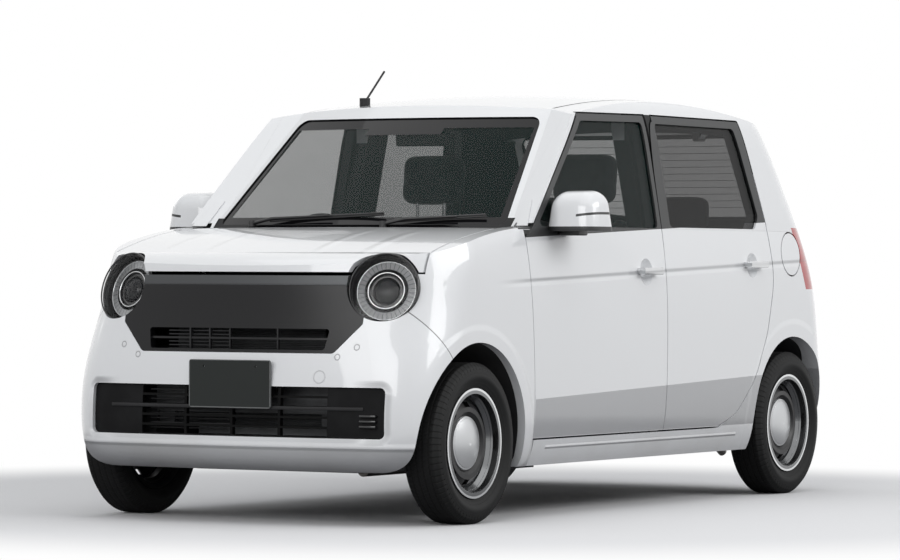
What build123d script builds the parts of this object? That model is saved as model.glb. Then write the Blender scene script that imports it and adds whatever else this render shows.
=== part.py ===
from build123d import *
from functools import lru_cache
import math
import os

os.makedirs("parts", exist_ok=True)

# A four-door kei hatchback on four steel wheels. Millimetres, +Z up, origin on the ground
# under the middle of the car. The nose faces -Y and the car's own left side is +X.

# ---- Overall sizes
length = 3395
width = 1475
height = 1545
wheelbase = 2520
front_axle_y = -1250
rear_axle_y = front_axle_y + wheelbase
track = 1305

# ---- Wheels and tyres, 155/65 R14
tyre_width = 155
tyre_radius = 278.5
rim_radius = 178
rim_width = 114
rim_lip = 12
disc_thickness = 5
stub_reach = 14
hub_bore_radius = 30
hub_fit = 0.05
bolt_circle_radius = 50
bolt_hole_radius = 6.5
bolt_count = 4
cap_radius = 92
steer_angle = 35
king_pin_inset = 60

# ---- Walls and gaps
wall = 50
sheet = 30
gap = 6
seat_gap = 0.4
glass_thickness = 5
glass_depth = 8
arch_radius_front = 340
arch_radius_rear = 332
well_inner_x = 372

# ---- Side openings
skin_x = 735
sill_top_z = 283
door_top_z = 1452
centre_gap_y = 180
front_gap_top = (-886, 995)
front_gap_bottom = (-838, 283)
hinge_depth = 35
hinge_back = 50
hinge_heights = [150, 560]
pin_radius = 6
pin_play = 0.1
eye_height = 24
pocket_height = 44
door_angle = 65
# (y, z, corner radius) of the rear door's trailing edge, top to bottom
rear_door_edge = [
    (1065, 1068, 30),
    (1104, 851, 300),
    (1035, 635, 300),
    (932, 460, 300),
    (774, 328, 200),
    (626, 283, 10),
]
# (y, z, corner radius) of the window openings
front_window = [
    (-798, 1032, 12),
    (-352, 1418, 40),
    (centre_gap_y - 44, 1426, 20),
    (centre_gap_y - 44, 1032, 20),
]
rear_window = [
    (centre_gap_y + 60, 1036, 20),
    (centre_gap_y + 60, 1424, 20),
    (912, 1424, 25),
    (1008, 1084, 25),
    (965, 1036, 30),
]
window_lap = 12
front_handle = (13, 873)
rear_handle = (914, 900)

# ---- Nose panels
lamp_centre = (526, -1548, 812)
lamp_facing = (0.2475, -0.9237, 0.2924)
lamp_radius = 124
ring_radius = 102
seam_x = 640
firewall_y = -905
grille_outline = [(436, 854, 4), (486, 760, 4), (484, 690, 12), (388, 589, 24)]
intake_outline = [(592, 475, 20), (592, 302, 20)]

# ---- Hull and tail
floor_z = 200
floor_thickness = 12
kick_up_y = 480
rear_floor_z = 430
arch_rise = 7
rear_bumper_y = 1600
rear_bumper_z = 530
tailgate_axis = (0, 1262, 1436)
tailgate_radius = 46
tailgate_half_top = 560
tailgate_half_mid = 600
tailgate_hinges = (-360, 360)
hinge_slot = 34
tail_lamp_z = (803, 1045)
fuel_centre = (1269, 941)
fuel_radius = 82
lens_dome_radius = 560
hood_axis = (0, -1010, 976)
hood_tail = 50
hood_hinges = (-560, 560)
disc_seat = 22
vent_count = 8
intake_rows = 5
fuel_pocket_x = 664
fuel_hinge = (706, 1151, 941)
fuel_pin_radius = 2.5
liner = 6
pillar_x = 676
frame_x = 590
apron_x = 598
# (x, z) down the inner faces of the side doors
door_inner = [
    (578, 1500),
    (598, 1400),
    (627, 1250),
    (653, 1100),
    (672, 960),
    (684, 850),
    (682, 440),
    (666, 250),
]
plate_width = 330
plate_height = 165
plate_thickness = 6
plate_screw_spacing = 210
plate_screw_rise = 60
plate_screw_radius = 3.5
plate_screw_depth = 12
front_plate_y = -1694
front_plate_z = 481.5
rear_plate_y = 1662
rear_plate_z = 700

# ---- Running gear and cabin
king_low = (598, front_axle_y, 196)
king_top = (500, front_axle_y, 762)
king_clamp = 250
engine_half = 270
disc_face_x = track / 2 + disc_seat - disc_thickness
wheel_x = -330
wheel_y = -480
wheel_z = 905
column_angle = 24
shaft_radius = 12
column_direction = (0, math.cos(math.radians(column_angle)), math.sin(math.radians(column_angle)))
antenna_foot = (-300, -290, 1500)
antenna_tip = (-300, -148, 1620)

# ---- Lofted body: one row per height.
# Nose rows: z, half width at the front, half width at the doors, front y, bow, corner radius
NOSE_ROWS = [
    (185, 676, 690, -1640, 70, 190),
    (240, 706, 716, -1688, 60, 190),
    (330, 720, 728, -1697, 55, 190),
    (480, 729, 735, -1690, 60, 210),
    (640, 730, 736, -1662, 75, 260),
    (830, 722, 732, -1635, 100, 330),
    (960, 698, 722, -1600, 120, 330),
    (1040, 640, 712, -1545, 150, 300),
    (1100, 560, 700, -1470, 170, 260),
]
# Cabin rows: z, half width, rear y, bow, corner radius
CABIN_ROWS = [
    (185, 690, 1640, 60, 120),
    (330, 728, 1697, 60, 170),
    (480, 735, 1692, 60, 180),
    (640, 736, 1672, 60, 190),
    (830, 732, 1640, 65, 200),
    (960, 722, 1600, 70, 220),
    (1100, 703, 1545, 80, 240),
    (1250, 677, 1478, 90, 250),
    (1400, 648, 1395, 100, 250),
    (1480, 618, 1330, 100, 240),
    (1530, 560, 1240, 100, 220),
    (1570, 470, 1120, 100, 200),
]
cabin_front_y = -1100

# ---- Roof, windscreen and bonnet surfaces
roof_length_radius = 5100
roof_crown_radius = 5200
roof_top_y = 400
screen_base = (-940, 1027)
screen_top = (-452, 1441)
screen_bow = 102
screen_half_width = 590
pillar_lead = 0.28
pillar_inner = (615, 524)
hood_plan_radius = 3125
hood_front_y = -1664
hood_front_z = 860
hood_rear_z = 1028


def mirrored(solid):
    return mirror(solid, about=Plane.YZ)


def both(solid):
    return [solid, mirrored(solid)]


def rounded(points):
    """Closed face from (a, b, corner radius) points."""
    corners = [(a, b) for a, b, radius in points]
    radii = [radius for a, b, radius in points]
    return make_face(FilletPolyline(corners, radius=radii, close=True))


def side_prism(points, x_from, x_to):
    """A (y, z, radius) outline pushed along X."""
    return extrude(Plane.YZ.offset(x_from) * rounded(points), amount=x_to - x_from)


def box_between(low, high):
    size = [b - a for a, b in zip(low, high)]
    return Pos(*low) * Box(*size, align=(Align.MIN, Align.MIN, Align.MIN))


def rod(start, end, radius):
    """A round bar from one point to another."""
    axis = Vector(*end) - Vector(*start)
    base = Plane(origin=start, z_dir=axis)
    return extrude(base * Circle(radius), amount=axis.length)


# ---- Master surfaces: the same functions give the outer skin and every inner offset of it

def nose_outline(row, inset):
    z, front_half, rear_half, front_y, bow, corner = row
    a = front_half - inset
    b = rear_half - inset + (rear_half - front_half)
    y = front_y + inset
    rear = -320
    face = make_face([
        ThreePointArc((-a, y + bow), (0, y), (a, y + bow)),
        Line((a, y + bow), (b, rear)),
        Line((b, rear), (-b, rear)),
        Line((-b, rear), (-a, y + bow)),
    ])
    front = face.vertices().filter_by(lambda v: v.Y < rear - 100)
    return Pos(0, 0, z) * fillet(front, corner)


def cabin_outline(row, inset):
    z, half, rear_y, bow, corner = row
    a = half - inset
    y = rear_y - inset
    front = cabin_front_y - 100
    face = make_face([
        ThreePointArc((-a, y - bow), (0, y), (a, y - bow)),
        Line((a, y - bow), (a, front)),
        Line((a, front), (-a, front)),
        Line((-a, front), (-a, y - bow)),
    ])
    rear = face.vertices().filter_by(lambda v: v.Y > front + 100)
    return Pos(0, 0, z) * fillet(rear, corner)


def under_roof(inset):
    """Everything below the crowned roof surface."""
    top = height - 2 - inset
    reach = 900
    drop = roof_crown_radius - math.sqrt(roof_crown_radius**2 - reach**2)
    face = make_face([
        ThreePointArc((-reach, top - drop), (0, top), (reach, top - drop)),
        Polyline((reach, top - drop), (reach, 100), (-reach, 100), (-reach, top - drop)),
    ])
    face = Plane(origin=(0, roof_top_y, 0), x_dir=(1, 0, 0), z_dir=(0, -1, 0)) * face
    axis = Axis((0, roof_top_y, height - roof_length_radius), (1, 0, 0))
    return revolve(face, axis, 35) + revolve(face, axis, -35)


def before_screen(inset):
    """Everything in front of the bowed windscreen and of the flat pillar faces beside it."""
    base_y, base_z = screen_base
    top_y, top_z = screen_top
    rise, run = top_z - base_z, top_y - base_y
    low_z = 600
    y = base_y + inset - (base_z - low_z) * run / rise
    reach = 900
    bow = screen_bow * (reach / screen_half_width) ** 2
    face = make_face([
        ThreePointArc((-reach, y + bow), (0, y), (reach, y + bow)),
        Polyline((reach, y + bow), (reach, -4000), (-reach, -4000), (-reach, y + bow)),
    ])
    space = extrude(Pos(0, 0, low_z) * face, amount=1100 / rise * math.hypot(rise, run), dir=(0, run, rise))
    corners = [
        Vector(x, y + screen_bow * (x / screen_half_width) ** 2 + inset, z)
        for x, (y, z) in zip(pillar_inner, (screen_base, screen_top))
    ]
    outward = Vector(1, -pillar_lead, 0)
    pillar_face = Plane(origin=corners[0], x_dir=outward, z_dir=outward.cross(corners[1] - corners[0]))
    before = pillar_face * Box(6000, 6000, 3000, align=(Align.CENTER, Align.CENTER, Align.MIN))
    return space & before & mirrored(before)


def under_hood_surface(inset):
    """Everything below the bonnet surface, which is bowed in plan."""
    r = hood_plan_radius
    axis_y = hood_front_y + r
    d = inset
    face = make_face([
        ThreePointArc((r + 6, hood_front_z - 30 - d), (r - 50, hood_front_z + 36 - d), (r - 160, hood_front_z + 74 - d)),
        ThreePointArc((r - 160, hood_front_z + 74 - d), (r - 380, hood_front_z + 128 - d), (r - 700, hood_rear_z - d)),
        Polyline(
            (r - 700, hood_rear_z - d),
            (r - 1300, hood_rear_z + 32 - d),
            (200, hood_rear_z + 32 - d),
            (200, 100),
            (r + 200, 100),
            (r + 200, hood_front_z - 30 - d),
            (r + 6, hood_front_z - 30 - d),
        ),
    ])
    face = Plane(origin=(0, axis_y, 0), x_dir=(0, -1, 0), z_dir=(-1, 0, 0)) * face
    axis = Axis((0, axis_y, 0), (0, 0, 1))
    return revolve(face, axis, 30) + revolve(face, axis, -30)


@lru_cache
def nose(inset=0):
    return loft([nose_outline(row, inset) for row in NOSE_ROWS]) & under_hood_surface(inset)


@lru_cache
def cabin(inset=0):
    body = loft([cabin_outline(row, inset) for row in CABIN_ROWS]) & under_roof(inset)
    return body - before_screen(inset)


def hinge_frame(point, direction):
    """A frame whose Z runs along a hinge line."""
    return Plane(origin=point, x_dir=(1, 0, 0), z_dir=direction)


def cross_frame(point):
    """A frame whose Z runs across the car, for a hinge line along X."""
    return Plane(origin=point, x_dir=(0, 1, 0), z_dir=(1, 0, 0))


def along(frame, radius, low, high):
    """A cylinder about a frame's Z, from low to high along it."""
    return frame.offset(low) * Cylinder(radius, high - low, align=(Align.CENTER, Align.CENTER, Align.MIN))


def front_view_prism(points, y_from, y_to):
    """An (x, z, radius) outline, seen from the front, pushed along Y."""
    face = Plane(origin=(0, y_from, 0), x_dir=(1, 0, 0), z_dir=(0, -1, 0)) * rounded(points)
    return extrude(face, amount=y_from - y_to)


def symmetric(points):
    """The left half of an outline, completed with its mirror image."""
    return points + [(-x, z, radius) for x, z, radius in reversed(points)]


def wheel_hollow(y, radius, grow=0):
    """The space cleared for a wheel, out through the arch, left side."""
    middle = tyre_radius + arch_rise
    inner_x = well_inner_x - grow
    cylinder = Pos(inner_x, y, middle) * Rot(0, 90, 0) * Cylinder(
        radius + grow, 900 - inner_x, align=(Align.CENTER, Align.CENTER, Align.MIN)
    )
    return cylinder + box_between((inner_x, y - radius - grow, -50), (900, y + radius + grow, middle))


# ---- Surfaces that several panels share

def nose_layer(region, outer, inner):
    """What a region holds of the nose between two depths under its skin."""
    return (region & nose(outer)) - nose(inner)


def cabin_layer(region, outer, inner):
    """What a region holds of the cabin between two depths under its skin."""
    return (region & cabin(outer)) - cabin(inner)


def pane(prism):
    return cabin_layer(prism, glass_depth, glass_depth + glass_thickness)


def pane_groove(prism):
    return cabin_layer(prism, glass_depth - seat_gap, glass_depth + glass_thickness + seat_gap)


wheel_wells = [(front_axle_y, arch_radius_front), (rear_axle_y, arch_radius_rear)]
hollows = both(wheel_hollow(*wheel_wells[0])) + both(wheel_hollow(*wheel_wells[1]))


# ---- Side doors, left side; the right side is the mirror image

axis_x = skin_x - hinge_depth
hinge_radius = math.hypot(hinge_depth, hinge_back)
front_hinge_low = (axis_x, front_gap_bottom[0] + hinge_back, front_gap_bottom[1])
front_hinge_high = (axis_x, front_gap_top[0] + hinge_back, front_gap_top[1])
front_hinge = hinge_frame(front_hinge_low, Vector(*front_hinge_high) - Vector(*front_hinge_low))
rear_hinge = hinge_frame((axis_x, centre_gap_y + hinge_back, sill_top_z), (0, 0, 1))


def behind_hinge(frame, grow):
    """The space behind a hinge line, with the cylinder that bounds a door's leading edge."""
    behind = frame * (Pos(0, 1500 - grow, 600) * Box(1200, 3000, 2600))
    return behind + along(frame, hinge_radius + grow, -300, 1500)


def door_depth(grow):
    """The depth of the side doors, whose inner faces lean in with the side."""
    inner = [(x - grow, z) for x, z in door_inner]
    outline = make_face(Polyline(inner + [(900, inner[-1][1]), (900, inner[0][1])], close=True))
    return extrude(Plane.XZ.offset(1000) * outline, amount=-2200)


def front_door_region(grow=0):
    prism = side_prism(
        [
            (-960, sill_top_z - grow, 0),
            (-960, 1002, 0),
            (-868 - grow, 1002, 4),
            (-360 - grow, door_top_z - 8 + grow, 45),
            (centre_gap_y - gap + grow, door_top_z + grow, 6),
            (centre_gap_y - gap + grow, sill_top_z - grow, 12),
        ],
        500,
        860,
    )
    return prism & door_depth(grow) & behind_hinge(front_hinge, grow)


def rear_door_region(grow=0):
    edge = [(y + grow, z - (grow if z == sill_top_z else 0), radius) for y, z, radius in rear_door_edge]
    front = centre_gap_y - 60
    head_rail = [(front, door_top_z + grow, 0), (967 + grow, door_top_z + grow, 10)]
    prism = side_prism([(front, sill_top_z - grow, 0)] + head_rail + edge, 500, 860)
    return prism & door_depth(grow) & behind_hinge(rear_hinge, grow)


def hinge_pockets(frame):
    """The hollows in a door round its two hinges."""
    return [frame.offset(h) * (Pos(-60, -15, 0) * Box(148, 114, pocket_height)) for h in hinge_heights]


def hinge_pins(frame):
    reach = pocket_height / 2 + 8
    return [along(frame, pin_radius, h - reach, h + reach) for h in hinge_heights]


def hinge_leaves(frame):
    """The fixed half of each hinge: an eye round the pin and an arm to the pillar."""
    arm = Pos(-45, 0, 0) * Box(90, 12, eye_height)
    leaf = arm + Cylinder(2 * pin_radius, eye_height) - Cylinder(pin_radius + pin_play, eye_height * 3)
    return [frame.offset(h) * leaf for h in hinge_heights]


def window_prism(points, grow=0):
    """A side window's outline, grown outwards for the glass edge."""
    outline = offset(rounded(points), grow) if grow else rounded(points)
    return extrude(Plane.YZ.offset(500) * outline, amount=360) & door_depth(0)


def door_handle(place):
    """A pull bar on two feet, over a cup pressed into the door skin."""
    y, z = place
    bar = Pos(skin_x + 22, y, z) * Box(14, 150, 26)
    bar = fillet(bar.edges().filter_by(Axis.Y), 6)
    for side in (-1, 1):
        bar = bar + Pos(skin_x + 2, y + side * 60, z) * Box(34, 24, 20)
    return bar


def handle_cup(place):
    return Pos(skin_x + 46, *place) * Sphere(72)


def hung_door(region, window, hinge, handle):
    """A door cut from the side wall, with its window, glass groove, hinges and handle."""
    panel = (region & cabin()) - window_prism(window)
    panel = panel - pane_groove(window_prism(window, window_lap + seat_gap))
    for pocket in hinge_pockets(hinge):
        panel = panel - pocket
    panel = panel - handle_cup(handle) + door_handle(handle)
    for pin in hinge_pins(hinge):
        panel = panel + pin
    return panel


def rear_door_sweep():
    """The space that a rear door's leading edge and the front door's trailing lip share."""
    y = centre_gap_y + hinge_back
    reach = hinge_radius + gap
    start, end = (axis_x, y - reach), (axis_x + reach, y)
    middle = (axis_x + reach * math.sqrt(0.5), y - reach * math.sqrt(0.5))
    outline = [
        Line((500, y - reach), start),
        ThreePointArc(start, middle, end),
        Polyline(end, (end[0], y + 60), (500, y + 60), (500, y - reach)),
    ]
    return extrude(make_face(outline), amount=1600)


def front_door():
    return hung_door(front_door_region() - rear_door_sweep(), front_window, front_hinge, front_handle)


def rear_door():
    return hung_door(rear_door_region(), rear_window, rear_hinge, rear_handle)


def door_mirror():
    """A rounded housing on a foot that stands on the front corner of the window sill."""
    shell = Pos(808, -585, 1068) * Box(160, 92, 122)
    shell = fillet(shell.edges().filter_by(Axis.Y), 38)
    shell = fillet(shell.faces().sort_by(Axis.Y)[0].edges(), 30)
    recess = Pos(808, -541, 1068) * Box(124, 8, 84)
    return shell - recess + box_between((718.6, -615, 998), (770, -565, 1016))


# ---- Hull

def inner_frame():
    """Left hinge pillar, centre pillar and inner sill, with the fixed halves of the door hinges."""
    post = side_prism([(-950, 240, 0), (-950, 985, 0), (-815, 985, 0), (-768, 240, 0)], frame_x, pillar_x)
    lintel = box_between((frame_x, -884, 980), (640, -812, 1004))
    sill = side_prism([(-850, floor_z, 0), (-850, 262, 0), (880, 262, 0), (880, floor_z, 0)], frame_x, 650)
    lean = [(x - gap - 2, z) for x, z in door_inner if z > 300]
    foot = [(660, 300), (640, floor_z), (600, floor_z), (600, 1000), (520, 1430), (530, 1500)]
    head = [(574, 1500), (600, door_top_z + gap + 4), (576, door_top_z + gap + 4)]
    outline = make_face(Polyline(head + lean[1:] + foot, close=True))
    centre = extrude(Plane.XZ.offset(-120) * outline, amount=-150)
    bridge = Pos(24, 0, 0) * extrude(Plane.XZ.offset(-172) * outline, amount=-52)
    frame = post + lintel + sill + centre + bridge
    frame = frame - [along(hinge, hinge_radius + gap, -60, 1500) for hinge in (front_hinge, rear_hinge)]
    frame = frame - wheel_hollow(front_axle_y, arch_radius_front, liner + seat_gap)
    for hinge in (front_hinge, rear_hinge):
        for leaf in hinge_leaves(hinge):
            frame = frame + leaf
    return frame


def tailgate_region(grow=0):
    sides = [
        (tailgate_half_top + grow, 1540, 5),
        (tailgate_half_mid + grow, 1060, 60),
        (tailgate_half_mid - 6 + grow, 800, 60),
        (tailgate_half_top + grow, rear_bumper_z + gap - grow, 60),
    ]
    prism = front_view_prism(symmetric(sides), 1100, 1800)
    below = box_between((-800, tailgate_axis[1] - tailgate_radius - grow, 0), (800, 1900, tailgate_axis[2]))
    behind = box_between((-800, tailgate_axis[1], 0), (800, 1900, 1700))
    rolled = along(cross_frame(tailgate_axis), tailgate_radius + grow, -800, 800)
    return prism & (below + behind + rolled)


def rear_glass_prism(grow=0):
    return front_view_prism(symmetric([(508 + grow, 1416 + grow, 50), (545 + grow, 1080 - grow, 60)]), 1200, 1800)


def screen_prism(grow=0):
    return front_view_prism(symmetric([(508 + grow, 1432 + grow, 45), (600 + grow, 1036 - grow, 20)]), -1200, 0)


def fuel_lid_region(grow=0):
    y, z = fuel_centre
    frame = Plane(origin=(0, y, z), x_dir=(0, 1, 0), z_dir=(1, 0, 0))
    return along(frame, fuel_radius + grow, fuel_pocket_x, 900)


def fuel_pocket():
    """The closed cup behind the filler lid, with a bulge for the lid's hooked arm."""
    y, z = fuel_centre
    frame = Plane(origin=(0, y, z), x_dir=(0, 1, 0), z_dir=(1, 0, 0))
    cup = along(frame, fuel_radius + gap + 6, fuel_pocket_x - 6, fuel_pocket_x + 24)
    bulge = box_between((fuel_pocket_x - 6, fuel_hinge[1] - 18, z - 19), (fuel_pocket_x + 24, y, z + 19))
    return (cup + bulge) & cabin(20)


def fuel_hinge_frame():
    return Plane(origin=fuel_hinge, x_dir=(1, 0, 0), z_dir=(0, 0, 1))


def fuel_channel():
    """The room ahead of the filler opening in which the lid's hooked arm turns."""
    x, y, z = fuel_hinge
    return box_between((fuel_pocket_x, y - 12, z - 13), (x + 11, y + 49, z + 13))


def body_shell():
    """Roof, pillars, sills and rear quarters: the welded side frames with all their openings."""
    front_aperture, rear_aperture = front_door_region(gap), rear_door_region(gap)
    cowl_y = -884
    cuts = [
        [
            box_between((-900, -1300, 0), (900, cowl_y, hood_rear_z + 6)),
            box_between((-900, rear_bumper_y, 0), (900, 1800, rear_bumper_z)),
        ],
        [box_between((-900, cowl_y - 10, 0), (900, -836, 990))],
        both(box_between((seam_x, cowl_y - 10, 980), (900, -842, 1040))),
        [box_between((-frame_x, -1300, 0), (frame_x, 1800, floor_z + floor_thickness + seat_gap))],
        [box_between((-frame_x, 1200, 0), (frame_x, 1800, rear_floor_z + floor_thickness + seat_gap))],
        hollows[2:],
        both(front_aperture) + [tailgate_region(gap)],
        both(rear_aperture) + [screen_prism()],
        both(along(front_hinge, hinge_radius + gap, 600, 760)),
        [fuel_lid_region(gap)] + both(tail_lamp_region(seat_gap)),
        [pane_groove(screen_prism(window_lap + seat_gap)), fuel_channel()],
        [along(fuel_hinge_frame(), fuel_pin_radius + pin_play, -26, 26)],
    ]
    frame = cabin() - cabin(wall) + fuel_pocket()
    for cut in cuts:
        frame = frame - cut
    frame = frame + both(inner_frame())
    for addition in tailgate_leaves():
        frame = frame + addition
    return frame


def rear_bumper():
    """The wrap-round bumper below the tailgate."""
    region = box_between((-900, rear_bumper_y + seat_gap, 0), (900, 1800, rear_bumper_z - seat_gap))
    region = region + box_between((-470, 1400, 0), (470, 1800, 330))
    return cabin_layer(region, 0, sheet)


def tailgate():
    """The rear hatch with its window, a recess for the number plate and two hinge arms."""
    panel = cabin_layer(tailgate_region(), 0, wall) - rear_glass_prism()
    panel = panel - pane_groove(rear_glass_prism(window_lap + seat_gap))
    panel = panel - rear_plate_recess() - plate_screws(rear_plate_y, rear_plate_z)
    slot = [(17, -60), (17, 10), (5, 12), (-55, 46), (-70, 46), (-70, -60)]
    for x in tailgate_hinges:
        panel = panel - tailgate_outline(slot, x, hinge_slot)
        panel = panel + along(cross_frame(tailgate_axis), pin_radius, x - hinge_slot / 2 - 8, x + hinge_slot / 2 + 8)
    return panel


def tailgate_outline(points, x, thickness):
    """A flat plate at x, from (y, z) points measured from the tailgate's hinge line."""
    y, z = tailgate_axis[1:]
    outline = [(y + a, z + b, 0) for a, b in points]
    return side_prism(outline, x - thickness / 2, x + thickness / 2)


def tailgate_leaves():
    """Arms that reach down and back from the roof rail to the tailgate's hinge pins."""
    arm = [(8, -6), (-8, 4), (-46, -38), (-92, -38), (-92, 10), (-104, 10), (-104, -50), (-50, -50)]
    leaves = []
    for x in tailgate_hinges:
        eye = along(cross_frame(tailgate_axis), 2 * pin_radius, x - eye_height / 2, x + eye_height / 2)
        bore = along(cross_frame(tailgate_axis), pin_radius + pin_play, x - 60, x + 60)
        leaves.append(tailgate_outline(arm, x, eye_height) + eye - bore)
    return leaves


def tail_lamp_region(grow=0):
    """An upright strip on the rear corner beside the tailgate."""
    low, high = tail_lamp_z
    outline = [(1470 - grow, high + grow, 8), (1800, high + grow, 1), (1800, low - grow, 1), (1520 - grow, low - grow, 8)]
    return side_prism(outline, tailgate_half_mid + gap + 4 - grow, 900)


def tail_lamp():
    return cabin_layer(tail_lamp_region(), 0, sheet)


def fuel_lid():
    """The round filler lid, on a hooked arm that carries it clear of the skin as it opens."""
    frame = fuel_hinge_frame()
    hook = [
        (1, -3.7),
        (-37.5, 9.5),
        (-37.5, 31.6),
        (-11.3, 53.5),
        (16, 53.5),
        (16, 46.5),
        (-8.7, 46.5),
        (-30.5, 28.4),
        (-30.5, 14.6),
        (1, 3.5),
    ]
    arm = frame.offset(-8) * extrude(make_face(Polyline(hook, close=True)), amount=16)
    pin = along(frame, fuel_pin_radius, -23, 23) + along(frame, 6, -8, 8)
    return cabin_layer(fuel_lid_region(), 0, 6) + ((arm & cabin(3)) + pin)


# ---- Nose

def lamp_frame():
    return Plane(origin=lamp_centre, x_dir=(0.966, 0.259, 0), z_dir=lamp_facing)


def lamp_pod(grow=0):
    """The cylinder that a headlamp takes out of the panels round it, left side."""
    return along(lamp_frame(), lamp_radius + grow, -160, 300)


def headlamp():
    """A deep bowl with a raised light ring and a projector, behind the clear lens."""
    frame = lamp_frame()
    bowl = along(frame, lamp_radius, -120, -6) - along(frame, lamp_radius - 8, -70, 0)
    ring = along(frame, ring_radius, -72, -34) - along(frame, ring_radius - 26, -72, 0)
    return bowl + ring + along(frame, 40, -72, -40)


def headlamp_lens():
    """A domed clear cover over the bowl."""
    frame = lamp_frame()
    shell = Sphere(lens_dome_radius) - Sphere(lens_dome_radius - 4)
    return frame.offset(14 - lens_dome_radius) * shell & along(frame, lamp_radius, -5, 60)


def hood_region(grow=0):
    """Front, side and rear limits of the bonnet, whose tail is rounded about its hinge line."""
    low = hood_front_z + gap - grow
    outline = symmetric([(seam_x + grow, 1300, 0), (seam_x + grow, low, 0)])
    region = front_view_prism(outline, -1900, hood_axis[1])
    region = region + (front_view_prism(outline, -1100, -900) & along(cross_frame(hood_axis), hood_tail + grow, -800, 800))
    for pod in both(lamp_pod(gap - grow)):
        region = region - pod
    return region


def hood():
    panel = nose_layer(hood_region(), 0, sheet)
    axis_y, axis_z = hood_axis[1:]
    for x in hood_hinges:
        web = Pos(x, axis_y, axis_z) * Box(20, 24, 24, align=(Align.CENTER, Align.CENTER, Align.MIN))
        panel = panel + (web + along(cross_frame(hood_axis), 2 * pin_radius, x - 10, x + 10))
        panel = panel - along(cross_frame(hood_axis), pin_radius + pin_play, x - 60, x + 60)
    return panel


def hood_bracket():
    """The fixed half of the left bonnet hinge: a pin on a bracket from the apron rail."""
    axis_y, axis_z = hood_axis[1:]
    x = hood_hinges[1]
    foot = box_between((x + 13, axis_y - 12, 880), (apron_x + 4, axis_y + 12, 904))
    plate = box_between((x + 13, axis_y - 8, 880), (x + 19, axis_y + 8, axis_z))
    top = along(cross_frame(hood_axis), 8, x + 13, x + 19)
    return foot + plate + top + along(cross_frame(hood_axis), pin_radius, x - 13, x + 19)


def fender_region():
    """Front wing: between bumper, bonnet and door."""
    seam = side_prism(
        [(-1900, 1300, 0), (-1560, 700, 0), (-1480, 545, 60), (-1400, 0, 0), (-700, 0, 0), (-700, 1300, 0)],
        560,
        900,
    )
    return seam - lamp_pod(seat_gap)


def fender_tail():
    """What the wing leaves free for the front door: its swing, and a strip below the pillar."""
    swing = behind_hinge(front_hinge, gap) & box_between((0, -1200, 0), (900, 0, 1017))
    strip = box_between((500, -863, 1000), (900, -600, 1046))
    return swing + strip


def front_fender():
    panel = nose_layer(fender_region(), 0, sheet) - fender_tail()
    panel = panel - box_between((0, -1900, hood_front_z), (seam_x + gap, -700, 1300))
    return panel - hollows[0]


def grille_prism(grow=0):
    outline = [(x + grow, z + (grow if z > 700 else -grow), radius) for x, z, radius in grille_outline]
    return front_view_prism(symmetric(outline), -1900, -1300)


def intake_prism(grow=0):
    outline = [(x + grow, z + (grow if z > 400 else -grow), radius) for x, z, radius in intake_outline]
    return front_view_prism(symmetric(outline), -1900, -1300)


def front_bumper():
    region = box_between((-900, -1900, 0), (900, -1240, 735))
    cutters = both(fender_region()) + [grille_prism(seat_gap), intake_prism(seat_gap)]
    panel = nose_layer(region, 0, sheet) - cutters - both(lamp_pod(seat_gap)) - hollows[:2]
    return panel - front_plate_recess() - plate_screws(front_plate_y, front_plate_z)


def front_grille():
    """The dark panel between the lamps, with a slatted slot at its foot."""
    panel = nose_layer(grille_prism(), 0, sheet) - both(lamp_pod(seat_gap))
    slot = front_view_prism(symmetric([(366, 672, 10), (352, 600, 10)]), -1900, -1300)
    bar = nose_layer(box_between((-380, -1900, 634), (380, -1300, 641)), 8, sheet - 6)
    return panel - slot + bar - front_plate_recess()


def lower_grille():
    """Slats across the lower intake, set back in the bumper."""
    low, high = intake_outline[1][1], intake_outline[0][1]
    pitch = (high - low) / intake_rows
    posts = [-380, -190, 0, 190, 380]
    holes = []
    for row in range(intake_rows):
        for left, right in zip(posts, posts[1:]):
            z = low + row * pitch
            holes.append(box_between((left + 5, -1900, z + 4), (right - 5, -1300, z + pitch - 4)))
    return nose_layer(intake_prism(), 12, sheet) - holes - front_plate_recess()


def cowl():
    """The plastic scuttle between bonnet and windscreen."""
    edge = seam_x + gap - seat_gap
    block = box_between((-edge, hood_axis[1], 960), (edge, -884 - seat_gap, 1100))
    strip = nose_layer(block, 4, sheet) & before_screen(-2)
    return strip - along(cross_frame(hood_axis), hood_tail + gap, -800, 800)


# ---- Floor, inside and underneath

def floor_pan():
    """Floor with its step up at the rear seat, bulkhead, and sills between them."""
    outline = [
        (firewall_y - floor_thickness, 985),
        (firewall_y - floor_thickness, 300),
        (-800, floor_z),
        (kick_up_y, floor_z),
        (kick_up_y + 90, rear_floor_z),
        (1590, rear_floor_z),
        (1590, rear_floor_z + floor_thickness),
        (kick_up_y + 82, rear_floor_z + floor_thickness),
        (kick_up_y - 8, floor_z + floor_thickness),
        (-796, floor_z + floor_thickness),
        (firewall_y, 305),
        (firewall_y, 985),
    ]
    sheet_body = extrude(Plane.YZ.offset(seat_gap - frame_x) * make_face(Polyline(outline, close=True)), amount=2 * (frame_x - seat_gap))
    for y, radius in wheel_wells:
        for hollow in both(wheel_hollow(y, radius, liner + seat_gap)):
            sheet_body = sheet_body - hollow
    return sheet_body


def wheel_house(y, radius, space):
    """The black liner over a left tyre, closed on its inboard side, inside the given space."""
    shell = wheel_hollow(y, radius, liner) - wheel_hollow(y, radius)
    return (shell - box_between((0, y - 500, -100), (900, y + 500, floor_z + floor_thickness + seat_gap))) & space


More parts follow.
